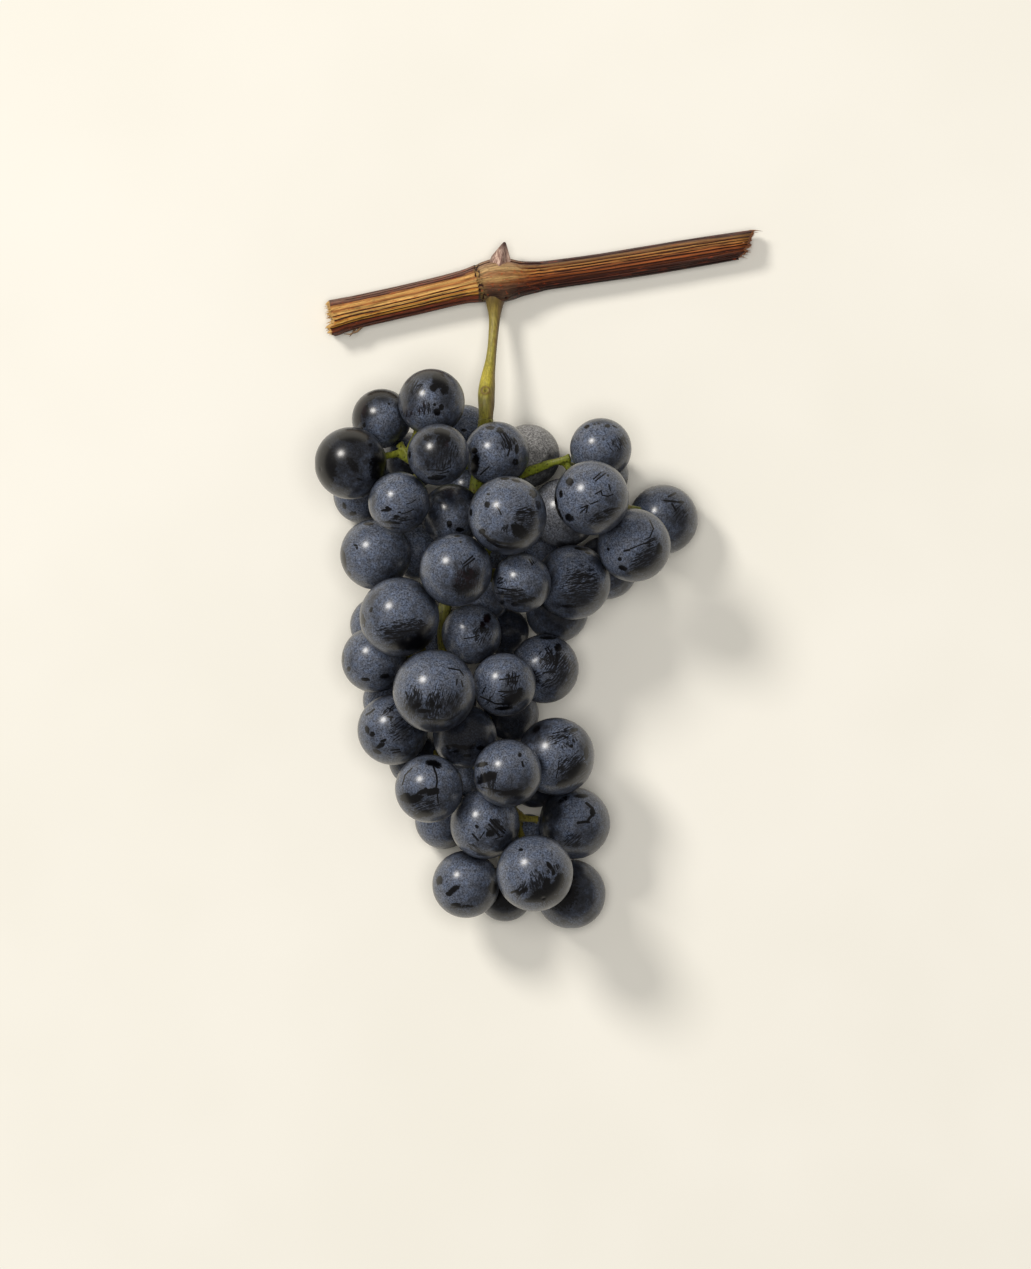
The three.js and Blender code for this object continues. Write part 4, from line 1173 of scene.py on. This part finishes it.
        thin_bloom_and_shade(-0.72, 0.4, 0.25, 0.6, 20, 0.7), hatching(0.15, -0.35, 0.5, 0.25, 10),
        scratch((0.1, 0.12), (0.3, 0.18), (0.5, 0.16), wide=0.02),
        scratch((0.1, -0.05), (0.45, 0.0), wide=0.02), spot(-0.1, -0.64, 0.3, 0.06, 0, 0.8),
        hatching(0.25, -0.1, 0.55, 0.6, 12, 1.1), thin_bloom_and_shade(0.2, -0.55, 0.8, 0.4, 0, 0.9),
    ],
    "berry_30": [
        spot(-0.78, 0.12, 0.1, 0.14, -10), spot(-0.36, -0.15, 0.22, 0.1, 35),
        spot(-0.5, -0.27, 0.1, 0.08), spot(0.8, -0.1, 0.14, 0.22),
        spot(-0.1, -0.66, 0.45, 0.06, 4, 0.75), spot(-0.3, -0.6, 0.16, 0.06),
        thin_bloom_and_shade(-0.1, -0.75, 0.6, 0.25, 0, 0.6), thin_bloom_and_shade(0.6, 0.5, 0.3, 0.4, 0, 0.35),
    ],
    # Berry_29: the two broad marks on its left are the painted shadow of berry_32 in front of it
    "berry_29": [
        thin_bloom_and_shade(-0.75, 0.4, 0.4, 0.5, 15, 1.25), thin_bloom_and_shade(-0.7, -0.2, 0.25, 0.7, 0, 0.9),
        spot(-0.3, 0.66, 0.2, 0.08, 30, 0.8), thin_bloom_and_shade(0.0, -0.7, 0.9, 0.35, 0, 0.6),
        scratch(
            (0.34, 0.56), (0.5, 0.42), (0.56, 0.28), (0.42, 0.14), (0.37, 0.05), (0.1, 0.01),
            wide=0.035,
        ),
        spot(0.5, 0.3, 0.07, 0.12, 20), spot(0.35, 0.03, 0.1, 0.04), spot(0.2, 0.76, 0.2, 0.06),
        thin_bloom_and_shade(0.75, 0.2, 0.2, 0.6, 0, 0.4), hatching(0.0, -0.5, 0.3, 0.3, 40),
    ],
    "berry_28": [
        spot(-0.07, 0.36, 0.11, 0.035, -10), spot(-0.05, 0.3, 0.03, 0.08),
        scratch((-0.14, 0.62), (0.0, 0.54)), scratch((-0.1, 0.5), (-0.02, 0.68)),
        scratch((-0.75, 0.42), (-0.62, 0.5), (-0.52, 0.58), wide=0.024),
        spot(-0.72, 0.0, 0.07, 0.14, 10, 0.9), spot(-0.58, -0.13, 0.08, 0.08),
        spot(-0.27, -0.32, 0.12, 0.05, 25, 0.9), spot(-0.45, -0.62, 0.14, 0.06, -25),
        scratch((-0.05, -0.58), (0.2, -0.56)), scratch((0.0, -0.66), (0.22, -0.62)),
        thin_bloom_and_shade(0.35, 0.0, 0.55, 0.6, 20, 0.65), thin_bloom_and_shade(-0.5, -0.3, 0.4, 0.4, 0, 0.4),
        hatching(0.3, 0.05, 0.5, 0.4, 30), hatching(-0.1, 0.58, 0.3, 0.1, 40),
        thin_bloom_and_shade(0.5, 0.1, 0.6, 0.8, 0, 0.8), spot(-0.35, -0.45, 0.16, 0.07, 30),
    ],
    # Berry_27 lies deep in the bunch: its broad mark over the whole berry is painted shade
    "berry_27": [
        scratch((-0.57, -0.3), (-0.27, -0.26), (0.02, -0.4), (0.31, -0.26), wide=0.034),
        spot(-0.25, -0.45, 0.12, 0.06, 20), spot(-0.5, -0.36, 0.08, 0.05),
        spot(0.08, -0.6, 0.14, 0.06), spot(0.5, -0.35, 0.16, 0.1, 0, 0.8),
        hatching(0.0, -0.35, 0.6, 0.15, 15), thin_bloom_and_shade(0.0, 0.1, 1.1, 1.0, 0, 1.1),
        spot(-0.1, -0.33, 0.4, 0.07, -6),
    ],
    "berry_26": [
        spot(0.52, 0.52, 0.14, 0.18, -10), spot(0.36, 0.25, 0.12, 0.25, -10, 0.75),
        scratch((-0.25, -0.15), (0.0, -0.12), (0.25, -0.04), wide=0.02),
        thin_bloom_and_shade(0.55, 0.25, 0.35, 0.5, 0, 0.6), thin_bloom_and_shade(0.05, -0.55, 0.6, 0.35, 0, 0.55),
        thin_bloom_and_shade(-0.8, -0.2, 0.15, 0.5, 0, 0.4), wine(0.5, 0.4, 0.3, 0.3),
        hatching(0.35, 0.0, 0.35, 0.35, 60),
    ],
    "berry_25": [
        spot(0.4, 0.62, 0.11, 0.13), spot(0.36, 0.25, 0.055, 0.22, -8),
        scratch((-0.04, -0.12), (0.15, -0.08), (0.32, -0.1), wide=0.022),
        scratch((0.02, 0.6), (0.15, 0.4), (0.2, 0.16)),
        scratch((0.1, 0.62), (0.25, 0.38), (0.28, 0.12)), scratch((-0.1, 0.3), (0.14, 0.22)),
        hatching(0.5, -0.25, 0.35, 0.45, 50), hatching(0.1, -0.4, 0.3, 0.2, 30),
        thin_bloom_and_shade(0.5, -0.3, 0.5, 0.6, 0, 0.75), thin_bloom_and_shade(0.3, 0.3, 0.3, 0.5, 0, 0.4),
        spot(0.1, 0.9, 0.3, 0.06, 0, 0.8), hatching(0.4, 0.1, 0.45, 0.7, 55, 1.1),
        hatching(-0.3, -0.3, 0.4, 0.3, 20, 1.0),
    ],
    "berry_24": [
        spot(-0.97, 0.05, 0.05, 0.25), spot(-0.77, -0.28, 0.06, 0.08, 20),
        spot(-0.27, -0.6, 0.14, 0.06, -5), spot(0.32, -0.5, 0.18, 0.08, 10),
        thin_bloom_and_shade(0.5, 0.0, 0.4, 0.5, 0, 0.5), thin_bloom_and_shade(0.0, -0.75, 0.6, 0.2, 0, 0.5),
        thin_bloom_and_shade(-0.75, -0.1, 0.15, 0.5, 0, 0.4),
    ],
    "berry_23": [
        spot(-0.56, 0.25, 0.06, 0.03, -10), spot(-0.52, 0.17, 0.03, 0.05),
        spot(-0.9, -0.15, 0.07, 0.34, 8), spot(-0.19, 0.85, 0.16, 0.045),
        spot(-0.74, -0.55, 0.05, 0.08, 30), thin_bloom_and_shade(0.65, -0.1, 0.35, 0.7, 0, 0.55),
        thin_bloom_and_shade(-0.85, 0.0, 0.14, 0.5, 0, 0.5), thin_bloom_and_shade(0.1, -0.75, 0.5, 0.2, 0, 0.4),
    ],
    # Berry_22 lies deep in the bunch: its broad dark marks are painted shade
    "berry_22": [
        spot(-0.08, -0.3, 0.1, 0.14, 0, 0.9), spot(0.25, -0.48, 0.15, 0.08),
        thin_bloom_and_shade(0.0, 0.6, 1.0, 0.6, 0, 0.85), wine(0.0, 0.8, 0.7, 0.3),
        thin_bloom_and_shade(-0.7, -0.2, 0.4, 0.8, 0, 0.9), thin_bloom_and_shade(0.3, -0.3, 0.8, 0.7, 0, 0.35),
    ],
    # Berry_21: the dark band and broad mark along its left edge are the painted shadow of berry_47 in
    # front of it
    "berry_21": [
        spot(-0.68, 0.1, 0.1, 0.1), spot(-0.66, -0.3, 0.13, 0.36, -8), spot(-0.2, 0.8, 0.14, 0.07),
        spot(0.1, 0.72, 0.13, 0.1, -30, 0.9),
        scratch((0.18, 0.68), (0.34, 0.4), (0.4, 0.15), (0.34, -0.05), wide=0.026),
        scratch((0.25, 0.66), (0.42, 0.4), (0.46, 0.12)),
        scratch((0.12, 0.6), (0.24, 0.4), (0.28, 0.2)), spot(0.62, 0.15, 0.07, 0.16),
        spot(0.57, -0.25, 0.13, 0.12, 0, 0.8),
        scratch((-0.5, -0.63), (-0.36, -0.5), (-0.24, -0.4), wide=0.022),
        thin_bloom_and_shade(0.4, 0.4, 0.4, 0.5, 0, 0.5), thin_bloom_and_shade(-0.8, -0.1, 0.2, 0.6, 0, 0.5),
        hatching(0.3, 0.3, 0.2, 0.4, -65),
    ],
    "berry_20": [
        spot(-0.45, 0.72, 0.1, 0.06, 20), spot(-0.2, 0.8, 0.05, 0.025),
        spot(-0.07, 0.81, 0.04, 0.025), spot(0.22, 0.74, 0.1, 0.06),
        spot(0.45, 0.72, 0.1, 0.025, -25), hatching(0.6, 0.2, 0.25, 0.4, -60),
        thin_bloom_and_shade(0.7, 0.0, 0.25, 0.6, 0, 0.45), thin_bloom_and_shade(0.0, 0.9, 0.5, 0.12, 0, 0.5),
        thin_bloom_and_shade(0.0, -0.5, 0.6, 0.2, 0, 0.3),
    ],
    "berry_19": [
        spot(-0.8, 0.1, 0.14, 0.42, -8), spot(-0.6, 0.6, 0.16, 0.2, -45),
        spot(-0.15, 0.85, 0.35, 0.1, 8), spot(0.35, 0.78, 0.2, 0.08, -25),
        spot(0.25, 0.5, 0.05, 0.04, -40), spot(-0.58, -0.22, 0.06, 0.1),
        spot(-0.7, -0.35, 0.08, 0.08), thin_bloom_and_shade(-0.5, 0.4, 0.4, 0.4, -45, 0.5),
        wine(-0.7, 0.3, 0.3, 0.6), thin_bloom_and_shade(-0.7, 0.3, 0.45, 0.8, -15, 1.0),
        thin_bloom_and_shade(0.0, 0.85, 0.8, 0.3, 0, 1.0), spot(-0.65, 0.35, 0.22, 0.35, 25),
        spot(-0.35, 0.75, 0.25, 0.14, 35),
    ],
    # Berry_15 lies in the shadow of berry_42: its dark spot and broad mark are painted shadow
    "berry_15": [spot(-0.35, 0.25, 0.6, 0.8, 20, 0.95), thin_bloom_and_shade(-0.1, 0.1, 0.9, 0.9, 0, 1.0)],
    # Berry_14 lies deep in the bunch: its dark spot and broad mark are painted shade
    "berry_14": [spot(0.0, 0.1, 0.9, 0.7), thin_bloom_and_shade(0.0, -0.3, 1.1, 0.8, 0, 1.1)],
    "berry_17": [dusty(0.0, 0.2, 1.2, 1.2, 0, 1.0)],
    "berry_18": [dusty(0.0, 0.0, 1.2, 1.2, 0, 0.4)],
    # Berries 13, 16, 12, 11, 10, 08, 06 and 01 lie deep in the bunch: their broad dark marks are
    # painted shade
    "berry_13": [thin_bloom_and_shade(0.2, -0.1, 0.5, 0.5, 0, 0.45)],
    "berry_16": [thin_bloom_and_shade(0.2, 0.0, 1.0, 1.0, 0, 1.2)],
    "berry_12": [thin_bloom_and_shade(0.2, -0.2, 1.0, 1.0, 0, 1.1)],
    "berry_11": [thin_bloom_and_shade(0.0, 0.3, 1.0, 0.8, 0, 1.0)],
    "berry_10": [thin_bloom_and_shade(-0.1, -0.2, 1.1, 0.9, 0, 1.15)],
    "berry_08": [thin_bloom_and_shade(0.1, 0.0, 1.1, 1.0, 0, 1.0)],
    "berry_06": [thin_bloom_and_shade(-0.1, 0.2, 1.0, 0.8, 0, 0.8)],
    "berry_01": [thin_bloom_and_shade(0.0, -0.3, 1.0, 0.9, 0, 1.0)],
    "berry_05": [
        spot(0.25, 0.52, 0.3, 0.035, -6), spot(0.5, 0.5, 0.09, 0.05),
        scratch((0.15, 0.66), (0.35, 0.76), wide=0.03),
        scratch((0.25, 0.45), (0.36, 0.25), wide=0.026), thin_bloom_and_shade(0.5, -0.1, 0.55, 0.8, 0, 0.7),
        thin_bloom_and_shade(0.3, 0.6, 0.4, 0.2, 0, 0.5), thin_bloom_and_shade(-0.5, 0.3, 0.3, 0.3, 0, 0.3),
        hatching(0.5, 0.2, 0.3, 0.3, 50),
    ],
    "berry_04": [
        spot(-0.62, -0.4, 0.07, 0.12, 20), spot(-0.33, -0.66, 0.12, 0.09),
        thin_bloom_and_shade(0.0, -0.3, 0.8, 0.5, 0, 0.4),
    ],
    "berry_03": [thin_bloom_and_shade(0.0, 0.0, 0.6, 0.5, 0, 0.3), spot(0.0, 0.1, 0.1, 0.06)],
}


# Painted shade: every berry's bloom is darkened towards its lower right, the side turned away from the
# lamp
LOWER_RIGHT_PAINTED_SHADE = thin_bloom_and_shade(0.72, -0.62, 0.78, 0.78, 0, 0.75)


def near_outline(marks, u, v, reach):
    """Whether a place is near the edge of a mark with a sharp edge."""
    for mark in marks:
        limit = mark["reach"] + reach
        if abs(u - mark["across"]) < limit and abs(v - mark["along"]) < limit:
            if abs(mark["distance"](u, v)) < reach:
                return True
    return False


def refined_ball(marks, pedicel):
    """A round ball of triangles, finer near the edges of its marks, its dimple and its scar."""
    ball = bmesh.new()
    bmesh.ops.create_icosphere(ball, subdivisions=BERRY_DETAIL, radius=1.0)
    sharp = [mark for mark in marks if mark["layer"] in ("rubbed", "scratched")]
    finest = [mark for mark in marks if mark["layer"] == FINEST_LAYER]
    dimple_reach = DIMPLE_REFINING * DIMPLE_ANGLE
    for number, reach in enumerate(REFINING):
        chosen = finest if number == len(REFINING) - 1 else sharp
        edges = []
        for edge in ball.edges:
            middle = (edge.verts[0].co + edge.verts[1].co) / 2
            near_dimple = number == 0 and abs(middle.dot(pedicel)) > math.cos(dimple_reach)
            on_top = middle.z > REFINED_FROM and near_outline(chosen, middle.x, middle.y, reach)
            if near_dimple or on_top:
                edges.append(edge)
        bmesh.ops.subdivide_edges(ball, edges=edges, cuts=1, use_grid_fill=True)
        many_sided = [face for face in ball.faces if len(face.verts) > 3]
        bmesh.ops.triangulate(ball, faces=many_sided)
        for corner in ball.verts:
            corner.co.normalize()
    return ball


def pedicel_direction(middle, radius, stalk_points):
    """From a berry's middle to the pedicel that ends on it."""
    reach = radius + PEDICEL_REACH_MM * MM
    near = [point for point in stalk_points if (point - middle).length < reach]
    if not near:
        near = [min(stalk_points, key=lambda point: (point - middle).length)]
    total = Vector()
    for point in near:
        total += point - middle
    return total.normalized()


def write_marks(ball, marks, touches, radius, seed):
    """Writes for each corner how deep each kind of mark is there, and the strokes' direction."""
    layers = {name: ball.verts.layers.float.new(name) for name in MARK_LAYERS}
    stroke_layer = ball.verts.layers.float_vector.new("stroke_place")
    for corner in ball.verts:
        u, v, height = corner.co
        depths = dict.fromkeys(MARK_LAYERS, 0.0)
        turn = 0.0
        if height > MARKED_FROM:
            for mark in marks:
                reach = mark["reach"]
                if abs(u - mark["across"]) > reach or abs(v - mark["along"]) > reach:
                    continue
                depth = mark["depth"] * smooth_step(mark["soft"], -mark["soft"], mark["distance"](u, v))
                if depth > depths[mark["layer"]]:
                    depths[mark["layer"]] = depth
                    if mark["layer"] == "hatched":
                        turn = math.radians(mark["turn"])
        # Bloom worn where a neighbour nearly touches, and painted shade in the dark between the berries
        # there
        for direction in touches:
            angle = math.acos(min(max(corner.co.dot(direction), -1.0), 1.0))
            depths["thin"] = max(depths["thin"], TOUCH_WEAR_AND_SHADE * smooth_step(TOUCH_ANGLE, 0.1, angle))
        # Painted shade: each berry's sides are darkened below a set height, away from the lamps
        side_painted_shade = SIDE_PAINTED_SHADE * smooth_step(SIDE_PAINTED_SHADE_FROM, 0.0, height)
        depths["thin"] = max(depths["thin"], side_painted_shade)
        for name, layer in layers.items():
            corner[layer] = depths[name]
        along_stroke = u * math.cos(turn) + v * math.sin(turn)
        across_stroke = v * math.cos(turn) - u * math.sin(turn)
        stroke_place = Vector((along_stroke, across_stroke, 0)) * radius / MM
        corner[stroke_layer] = stroke_place + Vector((0, 0, seed))


def shape_berry(ball, middle, radius, pedicel, seed):
    """Gives the ball its size, its dip at the pedicel, its tip scar and its flat underside."""
    draw = random.Random(seed)
    axis = (draw.uniform(-1, 1), draw.uniform(-1, 1), 1)
    spin = Matrix.Rotation(draw.uniform(0, 2 * math.pi), 3, axis)
    shift = Vector((draw.uniform(-50, 50), draw.uniform(-50, 50), draw.uniform(-50, 50)))
    grain = ball.verts.layers.float_vector.new("grain_place")
    scar_angle = TIP_SCAR_MM * MM / radius
    for corner in ball.verts:
        direction = corner.co.copy()
        from_pedicel = math.acos(min(max(direction.dot(pedicel), -1.0), 1.0))
        from_scar = math.pi - from_pedicel
        size = BERRY_FULLNESS + BERRY_UNEVEN * noise.noise(direction * 1.3 + shift)
        size -= DIMPLE_DEPTH * math.exp(-((from_pedicel / DIMPLE_ANGLE) ** 2))
        size -= TIP_SCAR_DEPTH * math.exp(-((from_scar / scar_angle) ** 2))
        corner[grain] = spin @ (direction * radius / MM) + shift
        corner.co = inside_box((middle + direction * radius * size) / MM) * MM
    bmesh.ops.recalc_face_normals(ball, faces=ball.faces)


# Colours of the bloom and of the bare skin under it
WAX_BLUE = (80, 88, 105)
WAX_GREY = (86, 91, 103)
WAX_DUSTY = (126, 125, 124)
BARE_BLACK = (9, 8, 12)
BARE_WINE = (24, 13, 18)

# A clear coat over a dull skin gives the berries their small highlights
BERRY_SHEEN = {
    "IOR": 1.4,
    "Specular IOR Level": 0.2,
    "Coat Weight": 0.6,
    "Coat Roughness": 0.25,
    "Coat IOR": 1.62,
}


def mesh_place(tree, name):
    """A place that the mesh holds for each of its corners, for a pattern to follow."""
    return shader_node(tree, "ShaderNodeAttribute", attribute_name=name).outputs["Vector"]


def skin_finish():
    """Waxy bloom over near-black skin, worn away where the mesh's marks are deep; some of the marks are
    painted shade.
    """
    material, tree, skin = new_finish("berry_skin")
    place = mesh_place(tree, "grain_place")

    # Unevenness of the bloom, from broad to fine; the scales are per millimetre
    cloud = cloudy_noise(tree, place, 0.24, 4.0, 0.6)
    patchy = cloudy_noise(tree, place, 0.6, 3.0, 0.6)
    ragged = cloudy_noise(tree, place, 1.6, 4.0, 0.65)
    stipple = cloudy_noise(tree, place, 2.5, 2.0, 0.7)

    edge = reckon(tree, "MULTIPLY_ADD", ragged, 1.7, -0.85)
    edge = reckon(tree, "ADD", edge, reckon(tree, "MULTIPLY_ADD", stipple, 0.7, -0.35))
    rubbed = reckon(tree, "ADD", mesh_value(tree, "rubbed"), edge)
    worn = between_values(tree, rubbed, 0.4, 0.68)
    scratched = reckon(tree, "MULTIPLY_ADD", edge, 0.6, mesh_value(tree, "scratched"))
    scratched = between_values(tree, scratched, 0.25, 0.55)

    strokes = grain_on(tree, mesh_place(tree, "stroke_place"), (0.5, 3.0, 1.0), 1.0)
    strokes = reckon(tree, "MULTIPLY_ADD", mesh_value(tree, "hatched"), 0.28, strokes)
    hatched = between_values(tree, strokes, 0.70, 0.79, 0.0, 0.95)

    # The thin layer darkens the bloom for thin bloom and for painted shade alike
    thin = reckon(tree, "ADD", mesh_value(tree, "thin"), reckon(tree, "MULTIPLY_ADD", cloud, 1.1, -0.5))
    thin = reckon(tree, "ADD", thin, reckon(tree, "MULTIPLY_ADD", patchy, 0.8, -0.4))
    thin = reckon(tree, "ADD", thin, reckon(tree, "MULTIPLY_ADD", stipple, 0.5, -0.25))
    thinned_and_shaded = between_values(tree, thin, 0.0, 1.05, 0.0, 0.9)
    bare = reckon(tree, "MAXIMUM", worn, scratched)
    bare = reckon(tree, "MAXIMUM", bare, hatched)
    bare = reckon(tree, "MAXIMUM", bare, thinned_and_shaded)

    greyer = between_values(tree, patchy, 0.36, 0.62)
    wax = blend_colours(tree, greyer, paint(*WAX_BLUE), paint(*WAX_GREY))
    wax = blend_colours(tree, mesh_value(tree, "dusty"), wax, paint(*WAX_DUSTY))
    for value, dark, light in ((stipple, 0.36, 1.72), (ragged, 0.72, 1.24), (cloud, 0.86, 1.1)):
        tone = between_values(tree, value, 0.3, 0.7, dark, light)
        wax = blend_colours(tree, 1.0, wax, tone, "MULTIPLY")
    reddish = reckon(tree, "MULTIPLY_ADD", patchy, 1.6, -0.9)
    reddish = reckon(tree, "ADD", mesh_value(tree, "wine_red"), reddish)
    reddish = between_values(tree, reddish, 0.3, 1.0)
    under = blend_colours(tree, reddish, paint(*BARE_BLACK), paint(*BARE_WINE))
    colour = blend_colours(tree, bare, wax, under)
    tree.links.new(colour, skin.inputs["Base Color"])
    tree.links.new(between_values(tree, bare, 0.0, 1.0, 0.48, 0.38), skin.inputs["Roughness"])
    for name, value in BERRY_SHEEN.items():
        skin.inputs[name].default_value = value
    height = reckon(tree, "MULTIPLY_ADD", bare, -0.6, reckon(tree, "MULTIPLY", stipple, 0.5))
    relief_on(tree, skin, height, 0.25, 0.06 * MM)
    return material


berry_skin = skin_finish()
stalk_points = [corner.co.copy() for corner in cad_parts["stalk"].data.vertices]
berry_names = sorted(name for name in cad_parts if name.startswith("berry_"))
berry_balls = {}
for name in berry_names:
    low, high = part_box(name)
    berry_radius = (high.x - low.x) / 2
    berry_middle = Vector(((low.x + high.x) / 2, (low.y + high.y) / 2, high.z - berry_radius))
    berry_balls[name] = (berry_middle, berry_radius)
for number, name in enumerate(berry_names):
    middle, radius = berry_balls[name]
    pedicel = pedicel_direction(middle, radius, stalk_points)
    touches = []
    for other_middle, other_radius in berry_balls.values():
        apart = other_middle - middle
        if 0 < apart.length < radius + other_radius + TOUCH_GAP_MM * MM:
            touches.append(apart.normalized())
    marks = BERRY_MARKS.get(name, []) + [LOWER_RIGHT_PAINTED_SHADE]
    ball = refined_ball(marks, pedicel)
    write_marks(ball, marks, touches, radius, number)
    shape_berry(ball, middle, radius, pedicel, number)
    as_piece(f"{name}_skin", ball, berry_skin, name)

# Surface: a plain pale floor that the bunch lies on. It belongs to the picture only, and
# isn't a piece of the bunch.

FLOOR_HALF_SIZE = 8.0
FLOOR_CREAM = (232, 229, 219)
FLOOR_WHITE = (236, 233, 224)


def floor_finish():
    """Cream-white board with a faint unevenness."""
    material, tree, board = new_finish("pale_floor")
    where = shader_node(tree, "ShaderNodeTexCoord").outputs["Object"]
    tone = between_values(tree, cloudy_noise(tree, where, 9.0), 0.3, 0.7)
    colour = blend_colours(tree, tone, paint(*FLOOR_CREAM), paint(*FLOOR_WHITE))
    tree.links.new(colour, board.inputs["Base Color"])
    board.inputs["Roughness"].default_value = 0.9
    return material


surface = bmesh.new()
bmesh.ops.create_grid(surface, x_segments=1, y_segments=1, size=FLOOR_HALF_SIZE)
floor_mesh = bpy.data.meshes.new("floor")
surface.to_mesh(floor_mesh)
surface.free()
floor_mesh.materials.append(floor_finish())
floor = bpy.data.objects.new("floor", floor_mesh)
bpy.context.scene.collection.objects.link(floor)

# Light: a soft lamp from the upper left in front, a broad pale light from overhead, and
# dim surroundings, so that the sides of the berries turn away into the dark

KEY_DIRECTION = Vector((-0.515, 0.497, 0.693))
KEY_DISTANCE = 2.4
KEY_SIZE = 0.62
KEY_POWER = 35.0
OVERHEAD_STRENGTH = 1.75
OVERHEAD_SPREAD = math.radians(30)
SURROUNDINGS = 0.17
KEY_COLOUR = (1.0, 0.96, 0.9)
OVERHEAD_COLOUR = (1.0, 0.98, 0.95)
SURROUNDINGS_COLOUR = (1.0, 0.97, 0.93, 1.0)

key_lamp = bpy.data.lights.new("key_lamp", "AREA")
key_lamp.shape = "DISK"
key_lamp.size = KEY_SIZE
key_lamp.energy = KEY_POWER
key_lamp.color = KEY_COLOUR
key = bpy.data.objects.new("key_lamp", key_lamp)
key.location = KEY_DIRECTION * KEY_DISTANCE
key.rotation_mode = "QUATERNION"
key.rotation_quaternion = KEY_DIRECTION.to_track_quat("Z", "Y")
bpy.context.scene.collection.objects.link(key)

overhead_lamp = bpy.data.lights.new("overhead_lamp", "SUN")
overhead_lamp.energy = OVERHEAD_STRENGTH
overhead_lamp.angle = OVERHEAD_SPREAD
overhead_lamp.color = OVERHEAD_COLOUR
overhead = bpy.data.objects.new("overhead_lamp", overhead_lamp)
overhead.visible_glossy = False
bpy.context.scene.collection.objects.link(overhead)

world = bpy.data.worlds.new("pale_studio")
world.use_nodes = True
background = world.node_tree.nodes["Background"]
background.inputs["Color"].default_value = SURROUNDINGS_COLOUR
background.inputs["Strength"].default_value = SURROUNDINGS
bpy.context.scene.world = world
bpy.context.scene.view_settings.view_transform = "Standard"

# Camera: straight above the bunch, far off and with a long lens, so that near and far
# berries keep their sizes

LENS_MM = 1200.0
SENSOR_MM = 36.0
FRAME_HEIGHT_MM = 317.25
FRAME_MIDDLE_MM = (-5.9, -13.9)
SHARP_HEIGHT_MM = 25.0

lens = bpy.data.cameras.new("camera")
lens.lens = LENS_MM
lens.sensor_width = SENSOR_MM
lens.clip_end = 100.0
camera = bpy.data.objects.new("camera", lens)
camera_height = FRAME_HEIGHT_MM * LENS_MM / SENSOR_MM + SHARP_HEIGHT_MM
camera.location = (FRAME_MIDDLE_MM[0] * MM, FRAME_MIDDLE_MM[1] * MM, camera_height * MM)
bpy.context.scene.collection.objects.link(camera)
bpy.context.scene.camera = camera
